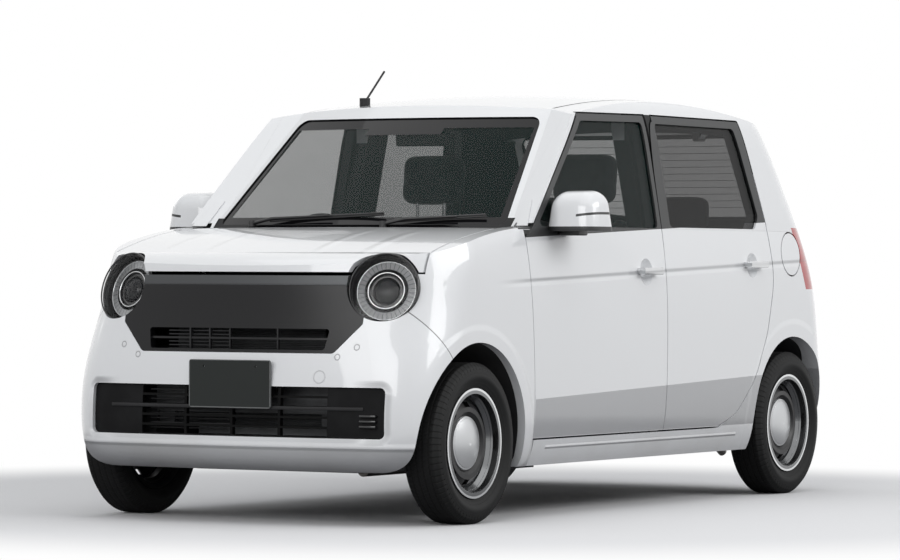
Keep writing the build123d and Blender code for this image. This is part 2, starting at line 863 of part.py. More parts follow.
def front_wheel_house():
    """Front liner with its strut tower, the opening for the axle and the wing's apron rail."""
    line = king_pin()
    total = (Vector(*king_top) - Vector(*king_low)).length
    house = wheel_house(front_axle_y, arch_radius_front, nose(sheet + seat_gap))
    rail = box_between((apron_x, -1380, 560), (apron_x + 30, -950 - seat_gap, 940)) & nose(sheet + seat_gap)
    tower = along(line, 74, 350, total - 8)
    inside = along(line, 66, 300, total - 16)
    house = house + (rail - wheel_hollow(front_axle_y, arch_radius_front))
    house = house + (tower - wheel_hollow(front_axle_y, arch_radius_front)) - inside + hood_bracket()
    return house - box_between((300, front_axle_y - 90, 150), (well_inner_x + 1, front_axle_y + 190, 400))


def rear_wheel_house():
    house = wheel_house(rear_axle_y, arch_radius_rear, cabin(wall + seat_gap))
    house = house - box_between((440, 880, 0), (560, 1000, 345))
    return house - box_between((300, 700, 0), (well_inner_x + 1, 1700, rear_floor_z))


def tyre():
    """A radial tyre round the Z axis."""
    half = tyre_width / 2
    profile = [
        (rim_radius + seat_gap, -rim_width / 2 + 8, 1),
        (rim_radius + 20, -rim_width / 2 - 4, 6),
        (tyre_radius - 50, -half, 22),
        (tyre_radius - 16, -half + 8, 14),
        (tyre_radius, -half + 24, 6),
        (tyre_radius, half - 24, 6),
        (tyre_radius - 16, half - 8, 14),
        (tyre_radius - 50, half, 22),
        (rim_radius + 20, rim_width / 2 + 4, 6),
        (rim_radius + seat_gap, rim_width / 2 - 8, 1),
    ]
    return revolve(Plane.XZ * rounded(profile), Axis.Z)


def steel_wheel():
    """A pressed steel rim and dished disc round the Z axis, outer face up."""
    half = rim_width / 2
    rim = make_face(Polyline([
        (rim_radius, -half + 9),
        (rim_radius - 3, -half + 9),
        (rim_radius - 18, -half + 34),
        (rim_radius - 18, half - 40),
        (rim_radius - 4, half - 20),
        (rim_radius - 4, half - 2),
        (rim_radius + rim_lip, half + 2),
        (rim_radius + rim_lip, half + 6),
        (rim_radius - 8, half + 6),
        (rim_radius - 8, half - 18),
        (rim_radius - 22, half - 38),
        (rim_radius - 22, -half + 32),
        (rim_radius - 6, -half + 4),
        (rim_radius + rim_lip, -half - 6),
        (rim_radius + rim_lip, -half - 2),
        (rim_radius, -half + 2),
    ], close=True))
    disc = make_face(Polyline([
        (hub_bore_radius, disc_seat),
        (cap_radius + 2, disc_seat),
        (cap_radius + 16, disc_seat + 14),
        (124, disc_seat + 14),
        (rim_radius - 19, disc_seat - 14),
        (rim_radius - 19, disc_seat - 19),
        (120, disc_seat + 9),
        (cap_radius + 18, disc_seat + 9),
        (cap_radius + 6, disc_seat - disc_thickness),
        (hub_bore_radius, disc_seat - disc_thickness),
    ], close=True))
    wheel = revolve(Plane.XZ * rim, Axis.Z) + revolve(Plane.XZ * disc, Axis.Z)
    for hole in PolarLocations(bolt_circle_radius, bolt_count):
        wheel = wheel - hole * Cylinder(bolt_hole_radius, 200)
    for vent in PolarLocations(134, vent_count):
        wheel = wheel - vent * Pos(0, 0, disc_seat) * Box(18, 34, 90)
    return wheel


def hub_cap():
    """A domed cap pressed over the middle of the disc, outer face up."""
    dome = Pos(0, 0, disc_seat + 24 - 260) * Sphere(260) - Pos(0, 0, disc_seat + 20 - 260) * Sphere(256)
    return dome & Pos(0, 0, disc_seat) * Cylinder(cap_radius, 60, align=(Align.CENTER, Align.CENTER, Align.MIN))


def wheel_place(y, side):
    """Where a wheel's own frame goes: its Z points out of the car."""
    return Plane(origin=(side * track / 2, y, tyre_radius), x_dir=(0, 1, 0), z_dir=(side, 0, 0))


def king_pin():
    """The line a front wheel steers about, left side, from ball joint to strut top."""
    return Plane(origin=king_low, x_dir=(0, 1, 0), z_dir=Vector(*king_top) - Vector(*king_low))


def knuckle():
    """Left upright: steers on the lower ball pin and the strut foot, and carries the stub axle."""
    line = king_pin()
    post = along(line, 22, 26, king_clamp)
    upright = post + box_between((572, front_axle_y - 34, tyre_radius - 66), (612, front_axle_y + 34, tyre_radius + 70))
    hub = rod((600, front_axle_y, tyre_radius), (disc_face_x, front_axle_y, tyre_radius), 62)
    stub = rod((disc_face_x - 4, front_axle_y, tyre_radius), (disc_face_x + stub_reach, front_axle_y, tyre_radius), hub_bore_radius - hub_fit)
    arm = box_between((560, front_axle_y + 20, 300), (590, front_axle_y + 120, 322))
    return upright + hub + stub + arm - along(line, 16 + pin_play, king_clamp - 60, king_clamp + 40) - along(line, 10 + pin_play, 0, 56)


def strut():
    """Left damper and spring, with its foot turning in the upright and its top in the wheel house."""
    line = king_pin()
    total = (Vector(*king_top) - Vector(*king_low)).length
    foot = along(line, 16, king_clamp - 58, king_clamp + 12)
    tube = along(line, 25, king_clamp + 6, total - 130)
    spring = along(line, 48, total - 190, total - 60)
    rod_top = along(line, 9, total - 140, total - 16 - seat_gap)
    seat = along(line, 56, total - 196, total - 188)
    mount = along(line, 60, total - 62, total - 16 - seat_gap)
    return foot + tube + spring + rod_top + seat + mount


def lower_arm():
    """Left wishbone from the crossmember to the ball pin."""
    x, y, z = king_low
    plate = Plane.XY.offset(z - 16) * make_face(Polyline(
        [(x + 16, y - 20), (x + 16, y + 20), (330, y + 150), (330, y + 90), (430, y), (330, y - 60), (330, y - 110)], close=True))
    return extrude(plate, amount=24) + along(king_pin(), 10, -4, 54)


def front_suspension():
    """Crossmember, side rails with engine mounts, bumper beam, wishbones and struts."""
    rail_x = 300
    rail_back = firewall_y - floor_thickness - seat_gap
    left = [
        box_between((rail_x, front_axle_y - 60, 200), (rail_x + 36, front_axle_y + 60, 340)),
        box_between((rail_x, -1580, 330), (rail_x + 60, rail_back, 420)),
        box_between((engine_half + seat_gap, -1300, 350), (rail_x + 4, -1200, 400)),
        lower_arm(),
    ]
    body = box_between((-340, front_axle_y - 120, 170), (340, front_axle_y + 160, 215))
    body = body + box_between((-360, -1600, 380), (360, -1570, 470))
    for piece in left:
        body = body + both(piece)
    return [body] + both(strut())


def rear_axle():
    """Torsion beam with trailing arms, stub axles, coil springs and dampers."""
    beam = Pos(0, rear_axle_y - 190, 300) * Box(960, 90, 70)
    hub_inner = disc_face_x - 60
    arm_y = rear_axle_y - 420
    damper = rod((500, rear_axle_y + 30, 290), (470, rear_axle_y + 90, 700), 24)
    left = [
        box_between((474, arm_y, 270), (526, rear_axle_y + 60, 320)),
        box_between((470, arm_y, 300), (530, arm_y + 40, rear_floor_z - seat_gap)),
        rod((480, rear_axle_y, tyre_radius), (hub_inner, rear_axle_y, tyre_radius), 40),
        rod((hub_inner, rear_axle_y, tyre_radius), (disc_face_x, rear_axle_y, tyre_radius), 62),
        rod((disc_face_x - 4, rear_axle_y, tyre_radius), (disc_face_x + stub_reach, rear_axle_y, tyre_radius), hub_bore_radius - hub_fit),
        rod((320, rear_axle_y - 190, 320), (320, rear_axle_y - 190, rear_floor_z - seat_gap), 46),
        damper & wheel_hollow(rear_axle_y, arch_radius_rear - seat_gap),
    ]
    for piece in left:
        beam = beam + both(piece)
    return beam


def seat(x, y):
    """A front seat: cushion, raked back and headrest on a low base."""
    parts = [
        side_prism([(y - 250, 420, 40), (y - 250, 520, 50), (y + 240, 500, 40), (y + 240, 400, 30)], x - 235, x + 235),
        side_prism([(y + 170, 470, 40), (y + 319, 1090, 50), (y + 419, 1090, 40), (y + 300, 440, 50)], x - 225, x + 225),
        side_prism([(y + 328, 1125, 30), (y + 352, 1318, 30), (y + 440, 1318, 30), (y + 424, 1125, 30)], x - 125, x + 125),
        box_between((x - 190, y - 200, floor_z + floor_thickness + seat_gap), (x + 190, y + 220, 430)),
        rod((x - 60, y + 370, 1070), (x - 60, y + 378, 1150), 7),
        rod((x + 60, y + 370, 1070), (x + 60, y + 378, 1150), 7),
    ]
    return parts[0] + parts[1:]


def rear_seat():
    y = 760
    low = rear_floor_z + floor_thickness + seat_gap
    parts = [
        side_prism([(y - 220, 450, 30), (y - 220, 560, 50), (y + 240, 530, 30), (y + 240, low, 4), (y - 120, low, 4)], -560, 560),
        side_prism([(y + 190, 500, 30), (y + 330, 1020, 50), (y + 410, 1020, 30), (y + 330, low, 4)], -560, 560),
    ]
    for x in (-300, 300):
        parts.append(side_prism([(y + 335, 1035, 25), (y + 350, 1170, 30), (y + 425, 1170, 30), (y + 415, 1035, 25)], x - 120, x + 120))
        parts.append(rod((x, y + 380, 1000), (x, y + 385, 1060), 8))
    bench = parts[0] + parts[1:]
    for hollow in both(wheel_hollow(rear_axle_y, arch_radius_rear, liner + gap)):
        bench = bench - hollow
    return bench


def dashboard():
    """Instrument panel across the car with a hood over the dials and the steering column."""
    outline = [
        (firewall_y + 4, 640, 1),
        (firewall_y + 4, 975, 1),
        (-760, 1000, 20),
        (-600, 985, 40),
        (-560, 860, 40),
        (-640, 640, 30),
    ]
    panel = side_prism(outline, seat_gap - frame_x, frame_x - seat_gap)
    hood_top = Pos(wheel_x, -650, 985) * Box(330, 150, 70)
    console = box_between((-120, -760, floor_z + floor_thickness + seat_gap), (120, -560, 660))
    line = steering_line()
    column = along(line, 32, -250, -30)
    return (panel + [hood_top, console, column]) - along(line, shaft_radius + hub_fit, -100, 0)


def steering_line():
    """A frame on the steering wheel's hub, its Z up the column."""
    return Plane(origin=(wheel_x, wheel_y, wheel_z), x_dir=(1, 0, 0), z_dir=column_direction)


def steering_wheel():
    """Rim, three spokes and boss, turning on the end of the column."""
    rim = Torus(178, 14)
    boss = Cylinder(62, 46)
    spokes = [Rot(0, 0, turn) * Pos(95, 0, 0) * Box(170, 34, 16) for turn in (0, 180, 270)]
    shaft = Pos(0, 0, -23) * Cylinder(shaft_radius, 60, align=(Align.CENTER, Align.CENTER, Align.MAX))
    return steering_line() * (rim + boss + spokes + shaft)


def engine():
    return box_between((-engine_half, -1470, 300), (engine_half, -1040, 740))


def radiator():
    return box_between((-299.6, -1556, 330), (299.6, -1510, 700))


def exhaust():
    """Front pipe, silencer and tail pipe."""
    run = [(120, -1000, 160), (120, 440, 160), (60, 700, 236), (60, 1000, 236)]
    pipes = [rod(a, b, 22) for a, b in zip(run, run[1:])]
    joints = [Pos(*point) * Sphere(22) for point in run[1:-1]]
    silencer = Pos(60, 1430, 260) * Box(520, 180, 120)
    tail = rod((250, 1500, 216), (250, 1636, 140), 18)
    link = rod((60, 1000, 236), (60, 1360, 236), 22)
    hangers = [box_between((x - 8, 1420, 300), (x + 8, 1440, rear_floor_z - seat_gap)) for x in (-120, 240)]
    hangers.append(box_between((112, -20, 175), (128, 0, floor_z - seat_gap)))
    return pipes[0] + pipes[1:] + joints + [silencer, tail, link] + hangers


def fuel_tank():
    return box_between((-420, -300, 120), (60, 380, floor_z - seat_gap))


def antenna():
    """A short whip on a base at the front of the roof."""
    foot, tip = antenna_foot, antenna_tip
    return (rod(foot, tip, 4) + Pos(*foot) * Cylinder(20, 30)) - under_roof(-seat_gap)


def plate_screws(y, z):
    """The two screw holes of a number plate, run on into the panel behind it."""
    reach = plate_thickness + plate_screw_depth
    return [Pos(x, y, z + plate_screw_rise) * Rot(90, 0, 0) * Cylinder(plate_screw_radius, 2 * reach)
            for x in (-plate_screw_spacing / 2, plate_screw_spacing / 2)]


def number_plate(y, z):
    blank = Pos(0, y, z) * Box(plate_width, plate_thickness, plate_height)
    blank = fillet(blank.edges().filter_by(Axis.Y), 10)
    return blank - plate_screws(y, z)


def front_plate_recess():
    back = front_plate_y + plate_thickness / 2 + seat_gap
    half = plate_width / 2 + 3
    return box_between((-half, -1900, front_plate_z - 86), (half, back, front_plate_z + 86))


def rear_plate_recess():
    back = rear_plate_y - plate_thickness / 2 - seat_gap
    half = plate_width / 2 + 12
    return box_between((-half, back, rear_plate_z - 94), (half, 1900, rear_plate_z + 94))


NODES = {}


def keep(name, *shapes):
    NODES[name] = [solid for shape in shapes for solid in shape.solids()]


keep("body_shell", body_shell())
keep("floor_pan", floor_pan())
keep("front_fenders", *both(front_fender()))
keep("front_bumper", front_bumper())
keep("front_grille", front_grille())
keep("lower_grille", lower_grille())
keep("headlamps", *both(headlamp()))
keep("headlamp_lenses", *both(headlamp_lens()))
keep("hood", hood())
keep("cowl", cowl())
keep("windscreen", pane(screen_prism(window_lap)))
keep("tailgate", tailgate())
keep("tailgate_glass", pane(rear_glass_prism(window_lap)))
keep("rear_bumper", rear_bumper())
keep("tail_lamps", *both(tail_lamp()))
keep("fuel_lid", fuel_lid())
keep("front_number_plate", number_plate(front_plate_y, front_plate_z))
keep("rear_number_plate", number_plate(rear_plate_y, rear_plate_z))
keep("antenna", antenna())
keep("dashboard", dashboard())
keep("steering_wheel", steering_wheel())
keep("front_seats", seat(330, -110), seat(-330, -110))
keep("rear_seat", rear_seat())
keep("engine", engine())
keep("radiator", radiator())
keep("front_suspension", *front_suspension())
keep("rear_axle", rear_axle())
keep("exhaust", exhaust())
keep("fuel_tank", fuel_tank())
keep("wheel_houses", *both(front_wheel_house()), *both(rear_wheel_house()))
paired = {
    "front_door": front_door(),
    "rear_door": rear_door(),
    "front_door_glass": pane(window_prism(front_window, window_lap)),
    "rear_door_glass": pane(window_prism(rear_window, window_lap)),
    "door_mirror": door_mirror(),
    "front_knuckle": knuckle(),
}
for name, shape in paired.items():
    keep(f"{name}_left", shape)
    keep(f"{name}_right", mirrored(shape))
for end, y in (("front", front_axle_y), ("rear", rear_axle_y)):
    for side, sign in (("left", 1), ("right", -1)):
        place = wheel_place(y, sign)
        keep(f"tyre_{end}_{side}", place * tyre())
        keep(f"wheel_{end}_{side}", place * steel_wheel(), place * hub_cap())

for name, solids in NODES.items():
    export_step(Compound(solids), f"parts/{name}.step")
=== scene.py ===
import math

import bpy
from mathutils import Matrix, Vector


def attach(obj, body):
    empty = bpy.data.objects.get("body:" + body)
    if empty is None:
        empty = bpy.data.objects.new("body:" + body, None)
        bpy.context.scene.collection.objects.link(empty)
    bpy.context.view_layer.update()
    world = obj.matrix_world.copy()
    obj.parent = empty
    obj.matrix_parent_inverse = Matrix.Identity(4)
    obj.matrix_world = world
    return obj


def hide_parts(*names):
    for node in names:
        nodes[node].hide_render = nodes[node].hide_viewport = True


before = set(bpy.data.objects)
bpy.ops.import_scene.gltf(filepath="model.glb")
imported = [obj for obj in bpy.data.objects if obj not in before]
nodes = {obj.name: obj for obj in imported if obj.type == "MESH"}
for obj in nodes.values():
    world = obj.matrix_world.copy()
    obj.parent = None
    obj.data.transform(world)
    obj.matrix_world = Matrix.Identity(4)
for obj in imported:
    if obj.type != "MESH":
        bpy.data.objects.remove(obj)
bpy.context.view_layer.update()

scene = bpy.context.scene

# ---- Studio
# A plain pale floor that fades into an even white, and soft lamps over, ahead of and beside the
# car. The camera is a long lens, low and ahead of the left front corner.
CAMERA_PLACE = (8.142, -14.4965, 0.8812)
HEADING, DIP, TILT = -0.513295, -0.003047, 0.004045
SENSOR_WIDTH, LENS = 36, 176.68
SHIFT_X, SHIFT_Y = -0.01693, 0.00175
FLOOR_WIDTH, FADE_START, FADE_END = 60, 2.3, 3.6
FLOOR_PALE, FLOOR_TO_LAMPS = (0.80, 0.80, 0.81), (0.24, 0.24, 0.25)
SKY_COLOUR, SKY_STRENGTH = (0.96, 0.98, 1.0, 1), 0.46
SOFT_LAMPS = (
    ("top_light", (0.5, -0.8, 5.0), (0, 0, 0.8), (5, 7), 52),
    ("front_light", (1.0, -8.5, 3.6), (0, -1.2, 0.9), (7, 3), 215),
    ("side_light", (7.5, 1.5, 4.6), (0.5, 0.2, 0.9), (8, 3), 285),
    ("far_light", (-8, 3, 4), (0, 0, 0.8), (6, 3), 45),
)

scene.view_settings.view_transform = "Standard"
bpy.ops.object.select_all(action="DESELECT")
bpy.ops.object.camera_add(location=CAMERA_PLACE)
camera = bpy.context.object
look = Vector((math.sin(HEADING) * math.cos(DIP), math.cos(HEADING) * math.cos(DIP), math.sin(DIP)))
level = Vector((math.cos(HEADING), -math.sin(HEADING), 0.0))
upright = level.cross(look)
right = level * math.cos(TILT) + upright * math.sin(TILT)
upward = upright * math.cos(TILT) - level * math.sin(TILT)
camera.rotation_euler = Matrix((right, upward, -look)).transposed().to_euler()
camera.data.sensor_width = SENSOR_WIDTH
camera.data.lens = LENS
camera.data.shift_x = SHIFT_X
camera.data.shift_y = SHIFT_Y
camera.data.clip_end = 200
scene.camera = camera


def add_node(tree, kind, settings=None, **sockets):
    """Adds a shader node with its settings, and a value or a wire in each named socket."""
    node = tree.nodes.new("ShaderNode" + kind)
    for key, value in (settings or {}).items():
        setattr(node, key, value)
    for key, value in sockets.items():
        slot = node.inputs[int(key[1:]) if key[0] == "_" else key.replace("_", " ")]
        if isinstance(value, Wire):
            tree.links.new(value.socket, slot)
        else:
            slot.default_value = value
    return node


class Wire:
    """A shader socket that takes Python's operators, each of which adds a Math node."""

    def __init__(self, tree, socket):
        self.tree = tree
        self.socket = socket

    def math(self, operation, *values):
        sockets = {f"_{place}": value for place, value in enumerate(values)}
        node = add_node(self.tree, "Math", {"operation": operation}, **sockets)
        return Wire(self.tree, node.outputs[0])

    def __add__(self, other):
        return self.math("ADD", self, other)

    def __radd__(self, other):
        return self.math("ADD", other, self)

    def __sub__(self, other):
        return self.math("SUBTRACT", self, other)

    def __rsub__(self, other):
        return self.math("SUBTRACT", other, self)

    def __mul__(self, other):
        return self.math("MULTIPLY", self, other)

    def __rmul__(self, other):
        return self.math("MULTIPLY", other, self)

    def __truediv__(self, other):
        return self.math("DIVIDE", self, other)

    def __gt__(self, other):
        return self.math("GREATER_THAN", self, other)

    def __lt__(self, other):
        return self.math("LESS_THAN", self, other)

    def __abs__(self):
        return self.math("ABSOLUTE", self)

    def below(self, limit):
        """The value, or the limit where that is lower."""
        return self.math("MINIMUM", self, limit)

    def above(self, limit):
        """The value, or the limit where that is higher."""
        return self.math("MAXIMUM", self, limit)

    def between(self, low, high):
        """1 where the value is over low and under high."""
        return (self > low) * (self < high)

    def root(self):
        return self.math("SQRT", self)

    def sign(self):
        return self.math("SIGN", self)

    def bearing(self, other):
        """The angle of a point from its two distances, kept over nought for wave."""
        return self.math("ARCTAN2", self, other) + 4.0

    def wave(self, pitch):
        """0 to 1 and back once each pitch."""
        return self.math("PINGPONG", self, pitch / 2) / (pitch / 2)


class Finish:
    """A named material: its Principled shader, and the places and noises its maker asks for."""

    def __init__(self, name, colour, roughness, **settings):
        self.material = bpy.data.materials.new(name)
        self.material.use_nodes = True
        self.tree = self.material.node_tree
        self.shader = self.tree.nodes["Principled BSDF"]
        self.shader.inputs["Base Color"].default_value = (*colour, 1)
        self.shader.inputs["Roughness"].default_value = roughness
        for key, value in settings.items():
            socket = key.replace("_", " ").title().replace("Ior", "IOR")
            self.shader.inputs[socket].default_value = value

    def wire(self, kind, settings=None, output=0, **sockets):
        """Adds a node, and gives one of its outputs."""
        return Wire(self.tree, add_node(self.tree, kind, settings, **sockets).outputs[output])

    def point(self):
        return self.wire("TexCoord", output="Object")

    def axes(self, vector):
        return [Wire(self.tree, axis)
                for axis in add_node(self.tree, "SeparateXYZ", Vector=vector).outputs]

    def place(self):
        """The X, Y and Z of a point on the piece, in metres."""
        return self.axes(self.point())

    def facing(self):
        """The X, Y and Z of the surface's own direction."""
        return self.axes(self.wire("TexCoord", output="Normal"))

    def noise(self, scale, detail=3.0):
        return self.wire("TexNoise", output="Fac", Vector=self.point(), Scale=scale, Detail=detail)

    def ease(self, value, low, high):
        """0 where the value is under low, 1 over high, eased between."""
        return self.wire("MapRange", {"interpolation_type": "SMOOTHSTEP"},
                         Value=value, From_Min=low, From_Max=high)

    def stripe(self, value, half, soft=0.3):
        """1 where the value is near nought, falling to 0 at half."""
        return 1 - self.ease(abs(value), half * (1 - soft), half)

    def mix(self, factor, first, second):
        """A colour that goes from first to second with a wire."""
        first, second = (end if isinstance(end, Wire) else (*end, 1) for end in (first, second))
        return self.wire("Mix", {"data_type": "RGBA"}, 2, _0=factor, _6=first, _7=second)

    def feed(self, socket, value):
        self.tree.links.new(value.socket, self.shader.inputs[socket])

    def paint_over(self, mask, colour):
        """Lays another colour over the base colour where the mask is 1."""
        under = Wire(self.tree, self.shader.inputs["Base Color"].links[0].from_socket)
        self.feed("Base Color", self.mix(mask, under, colour))

    def relief(self, height):
        """Shades the surface as if it stood out by that height in metres."""
        self.feed("Normal", self.wire("Bump", Height=height, Distance=1.0, Strength=1.0))


def span(across, along):
    """How far a point is from nought, from its two distances."""
    return (across * across + along * along).root()


def seen(tree):
    """1 for a ray from the camera, through glass or off a glossy face."""
    path = add_node(tree, "LightPath").outputs
    straight, through, off = (Wire(tree, path[f"Is {ray} Ray"])
                              for ray in ("Camera", "Transmission", "Glossy"))
    return (straight + through + off).below(1.0)


bpy.ops.object.select_all(action="DESELECT")
bpy.ops.mesh.primitive_plane_add(size=FLOOR_WIDTH)
floor = bpy.context.object
floor.name = "studio_floor"
floor_finish = Finish("studio_floor", FLOOR_PALE, 0.9)
camera_ray = floor_finish.wire("LightPath", output="Is Camera Ray")
floor_finish.feed("Base Color", floor_finish.mix(camera_ray, FLOOR_TO_LAMPS, FLOOR_PALE))
across, along, _ = floor_finish.place()
fade = floor_finish.ease(span(across, along), FADE_START, FADE_END)
faded = floor_finish.wire("MixShader", _0=fade * seen(floor_finish.tree),
                          _1=Wire(floor_finish.tree, floor_finish.shader.outputs[0]),
                          _2=floor_finish.wire("Emission", Strength=1.0))
surface = floor_finish.tree.nodes["Material Output"].inputs["Surface"]
floor_finish.tree.links.new(faded.socket, surface)
floor.data.materials.append(floor_finish.material)

scene.world = bpy.data.worlds.new("studio")
scene.world.use_nodes = True
sky = scene.world.node_tree
lit = sky.nodes["Background"]
lit.inputs["Color"].default_value = SKY_COLOUR
lit.inputs["Strength"].default_value = SKY_STRENGTH
white = add_node(sky, "Background", Color=(1, 1, 1, 1))
choose = add_node(sky, "MixShader", _0=seen(sky), _1=Wire(sky, lit.outputs[0]),
                  _2=Wire(sky, white.outputs[0]))
sky.links.new(choose.outputs[0], sky.nodes["World Output"].inputs["Surface"])

for name, place, aim, size, watts in SOFT_LAMPS:
    bpy.ops.object.light_add(type="AREA", location=place)
    lamp = bpy.context.object
    lamp.name = name
    lamp.data.shape = "RECTANGLE"
    lamp.data.size, lamp.data.size_y = size
    lamp.data.energy = watts
    lamp.rotation_euler = (Vector(aim) - Vector(place)).to_track_quat("-Z", "Y").to_euler()

# ---- Painted shell
# The hull, wings, bonnet, bumpers and doors are pressed steel and moulded plastic in white enamel
# under lacquer. Creases are pressed in, and the cabin's inside is lined with grey cloth and trim.
WHITE = (0.80, 0.81, 0.825)
LOW_PATCH_GREY = (0.62, 0.61, 0.59)
GROOVE_SHADE = (0.36, 0.37, 0.385)
SATIN_BLACK = (0.022, 0.023, 0.024)
LINING = (0.014, 0.0145, 0.015)
LENS_RED = (0.42, 0.008, 0.010)
BRIGHTWORK = (0.62, 0.63, 0.64)
SENSOR_GREY = (0.30, 0.30, 0.31)
ENAMEL_ROUGHNESS = 0.28
SIDE_X, SKIN_X = 0.60, 0.66
AXLE_Y, AXLE_Z = {"front": -1.250, "rear": 1.270}, 0.2785
LOW_PATCH_Z, LOW_PATCH_SHARE = (0.2, 0.42), 0.35
GROOVE_Z, GROOVE_RISE, GROOVE_DEPTH, GROOVE_HALF = 0.8605, 0.0335, 0.006, 0.016
GROOVE_FADE_Y = (-1.15, -0.75)
SHOULDER_SLOPE, SHOULDER_TOP_Z, SHOULDER_FADE_Y = 0.12, 1.03, (-1.0, -0.6)
TUCK_Z, TUCK_RISE, TUCK_FOOT, TUCK_SLOPE, TUCK_FRONT_Y = 0.444, 0.028, 0.285, 0.58, -0.845
RIDGE_Z, RIDGE_HALF, RIDGE_HEIGHT, RIDGE_Y = 0.249, 0.008, 0.004, (-0.74, 0.80)
ARCH_LIP, LIP_DEPTH = (0.385, 0.412), 0.006
CABIN_X, CABIN_Z, CABIN_Y, HEADLINING_Z = 0.606, 1.36, (-0.15, 1.26), 1.25
LINED_FROM_Y, LINED_FROM_Z = -0.93, 0.23
DITCH_X, DITCH_HALF, DITCH_Y = 0.52, 0.0055, (-0.33, 1.21)
PILLAR_X, PILLAR_Y, PILLAR_Z = 0.58, (0.09, 0.29), (1.02, 1.456)
SILL_X, SILL_Y, SILL_Z = 0.622, -0.72, (1.0, 1.060)
RETURN_Z, RETURN_LEAN, RETURN_Y = (0.803, 1.045), 0.40, 1.714
SHUT_LEAN, SHUT_OFFSET, SHUT_SPAN, SHUT_HALF = 1.4, 1.4326, 1.72, 0.0024
SHUT_TOP_Z, SHUT_BACK_Y, SHUT_SHARE = 0.76, -1.40, 0.8
WING_EDGE_Z, WING_EDGE_Y = 1.0185, -0.935
WAIST_Z, WAIST_RISE = 1.0235, 0.0377
DOOR_HANDLES = (("front", 0.013, 0.873), ("rear", 0.914, 0.900))
HANDLE_X, HANDLE_HALF_Y, HANDLE_HALF_Z = 0.7395, 0.09, 0.03
BONNET_RIBS, BONNET_RIB_HEIGHT = ((0.22, 0.030), (0.412, 0.034)), 0.0045
SENSORS = [(side * x, z, 0.0095) for side in (1, -1) for x, z in ((0.473, 0.611), (0.405, 0.577))]
TOW_COVER = (0.345, 0.508, 0.021)
CHEEK_X, CHEEK_Z, CHEEK_HALF = 0.572, 0.3885, 0.0665
HOLLOW_DEPTH, HOLLOW_REACH, HOLLOW_X = 0.020, (0.016, 0.046), (0.46, 0.58)
STEP_Z, STEP_SLOPE, STEP_RIDGE_Z, BUMPER_BACK_Y = 0.268, 0.55, 0.272, -1.3
SHELF_Z, SHELF_HEIGHT, REAR_TUCK_Z, REAR_TUCK_SLOPE = (0.985, 1.01), 0.006, 0.30, 0.35


def wearing(name, finish):
    """Gives one CAD node that finish in all its slots."""
    node = nodes[name]
    node.data.materials.clear()
    node.data.materials.append(finish.material)


def over_groove(y, z):
    """How far a point stands over the pressed line along the side."""
    return z - (GROOVE_Z + GROOVE_RISE * y)


def side_creases(finish):
    """Heights of the shoulder groove, the tucked sill with its ridge, and the arch lips."""
    x, y, z = finish.place()
    side, skin = abs(x) > SIDE_X, abs(x) > SKIN_X
    up = over_groove(y, z)
    groove = -GROOVE_DEPTH * finish.stripe(up - 0.002, GROOVE_HALF, 1.0)
    groove = groove * (finish.ease(y, *GROOVE_FADE_Y) * side)
    shoulder = up.above(0.0) * -SHOULDER_SLOPE * (z < SHOULDER_TOP_Z) * side
    shoulder = shoulder * finish.ease(y, *SHOULDER_FADE_Y)
    tuck = (z.above(TUCK_FOOT) - (TUCK_Z + TUCK_RISE * y)).below(0.0) * TUCK_SLOPE
    tuck = tuck * skin * (y > TUCK_FRONT_Y)
    ridge = RIDGE_HEIGHT * finish.stripe(z - RIDGE_Z, RIDGE_HALF, 1.0) * y.between(*RIDGE_Y) * skin
    lips = 0.0
    for centre in AXLE_Y.values():
        lips = lips - LIP_DEPTH * finish.ease(span(y - centre, z - AXLE_Z), *ARCH_LIP)
    return groove + tuck + ridge + shoulder + lips * side


def enamel(name, heights=None, mask=None, under=SATIN_BLACK, under_roughness=0.42):
    """White enamel with a fine peel, pressed creases and painted groove shade; another colour under
    a mask.
    """
    finish = Finish(name, WHITE, ENAMEL_ROUGHNESS, coat_weight=1.0, coat_roughness=0.04)
    # Grey patches in noise, strongest at the foot of each panel and gone above 0.42 m.
    low_patches = finish.ease(finish.noise(5.0, 4.0), 0.35, 0.8)
    x, y, z = finish.place()
    low_patches = low_patches * (1 - finish.ease(z, *LOW_PATCH_Z)) * LOW_PATCH_SHARE
    colour = finish.mix(low_patches, WHITE, LOW_PATCH_GREY)
    if heights is side_creases:
        # Painted shade: the enamel is darkened just over the side's pressed line, where the
        # groove's shadow falls.
        shade = finish.stripe(over_groove(y, z) - 0.007, 0.010, 0.9)
        shade = shade * finish.ease(y, *GROOVE_FADE_Y) * (abs(x) > SIDE_X)
        colour = finish.mix(shade * 0.55, colour, GROOVE_SHADE)
    if mask:
        hidden = mask(finish)
        colour = finish.mix(hidden, colour, under)
        finish.feed("Coat Weight", 1 - hidden)
        finish.feed("Roughness", ENAMEL_ROUGHNESS + hidden * (under_roughness - ENAMEL_ROUGHNESS))
    finish.feed("Base Color", colour)
    peel = finish.noise(260.0, 2.0) * 0.00004
    finish.relief(peel + heights(finish) if heights else peel)
    return finish


def shell_lining(finish):
    """The lined inside of the hull, its black pillar and sill, and the ditches along the roof."""
    x, y, z = finish.place()
    nx, _, nz = finish.facing()
    wall = (nx * x.sign() < -0.5) * (abs(x) > 0.5)
    roof = (nz < -0.2) * (z > HEADLINING_Z)
    deep_inside = (abs(x) < CABIN_X) * (z < CABIN_Z) * y.between(*CABIN_Y)
    cabin = (wall + roof + deep_inside).below(1.0) * (y > LINED_FROM_Y) * (z > LINED_FROM_Z)
    ditch = finish.stripe(abs(x) - DITCH_X, DITCH_HALF) * (z > 1.40) * y.between(*DITCH_Y)
    pillar = y.between(*PILLAR_Y) * z.between(*PILLAR_Z) * (abs(x) > PILLAR_X)
    sill = z.between(*SILL_Z) * (y < SILL_Y) * (abs(x) < SILL_X)
    return (cabin + ditch + pillar + sill).below(1.0)


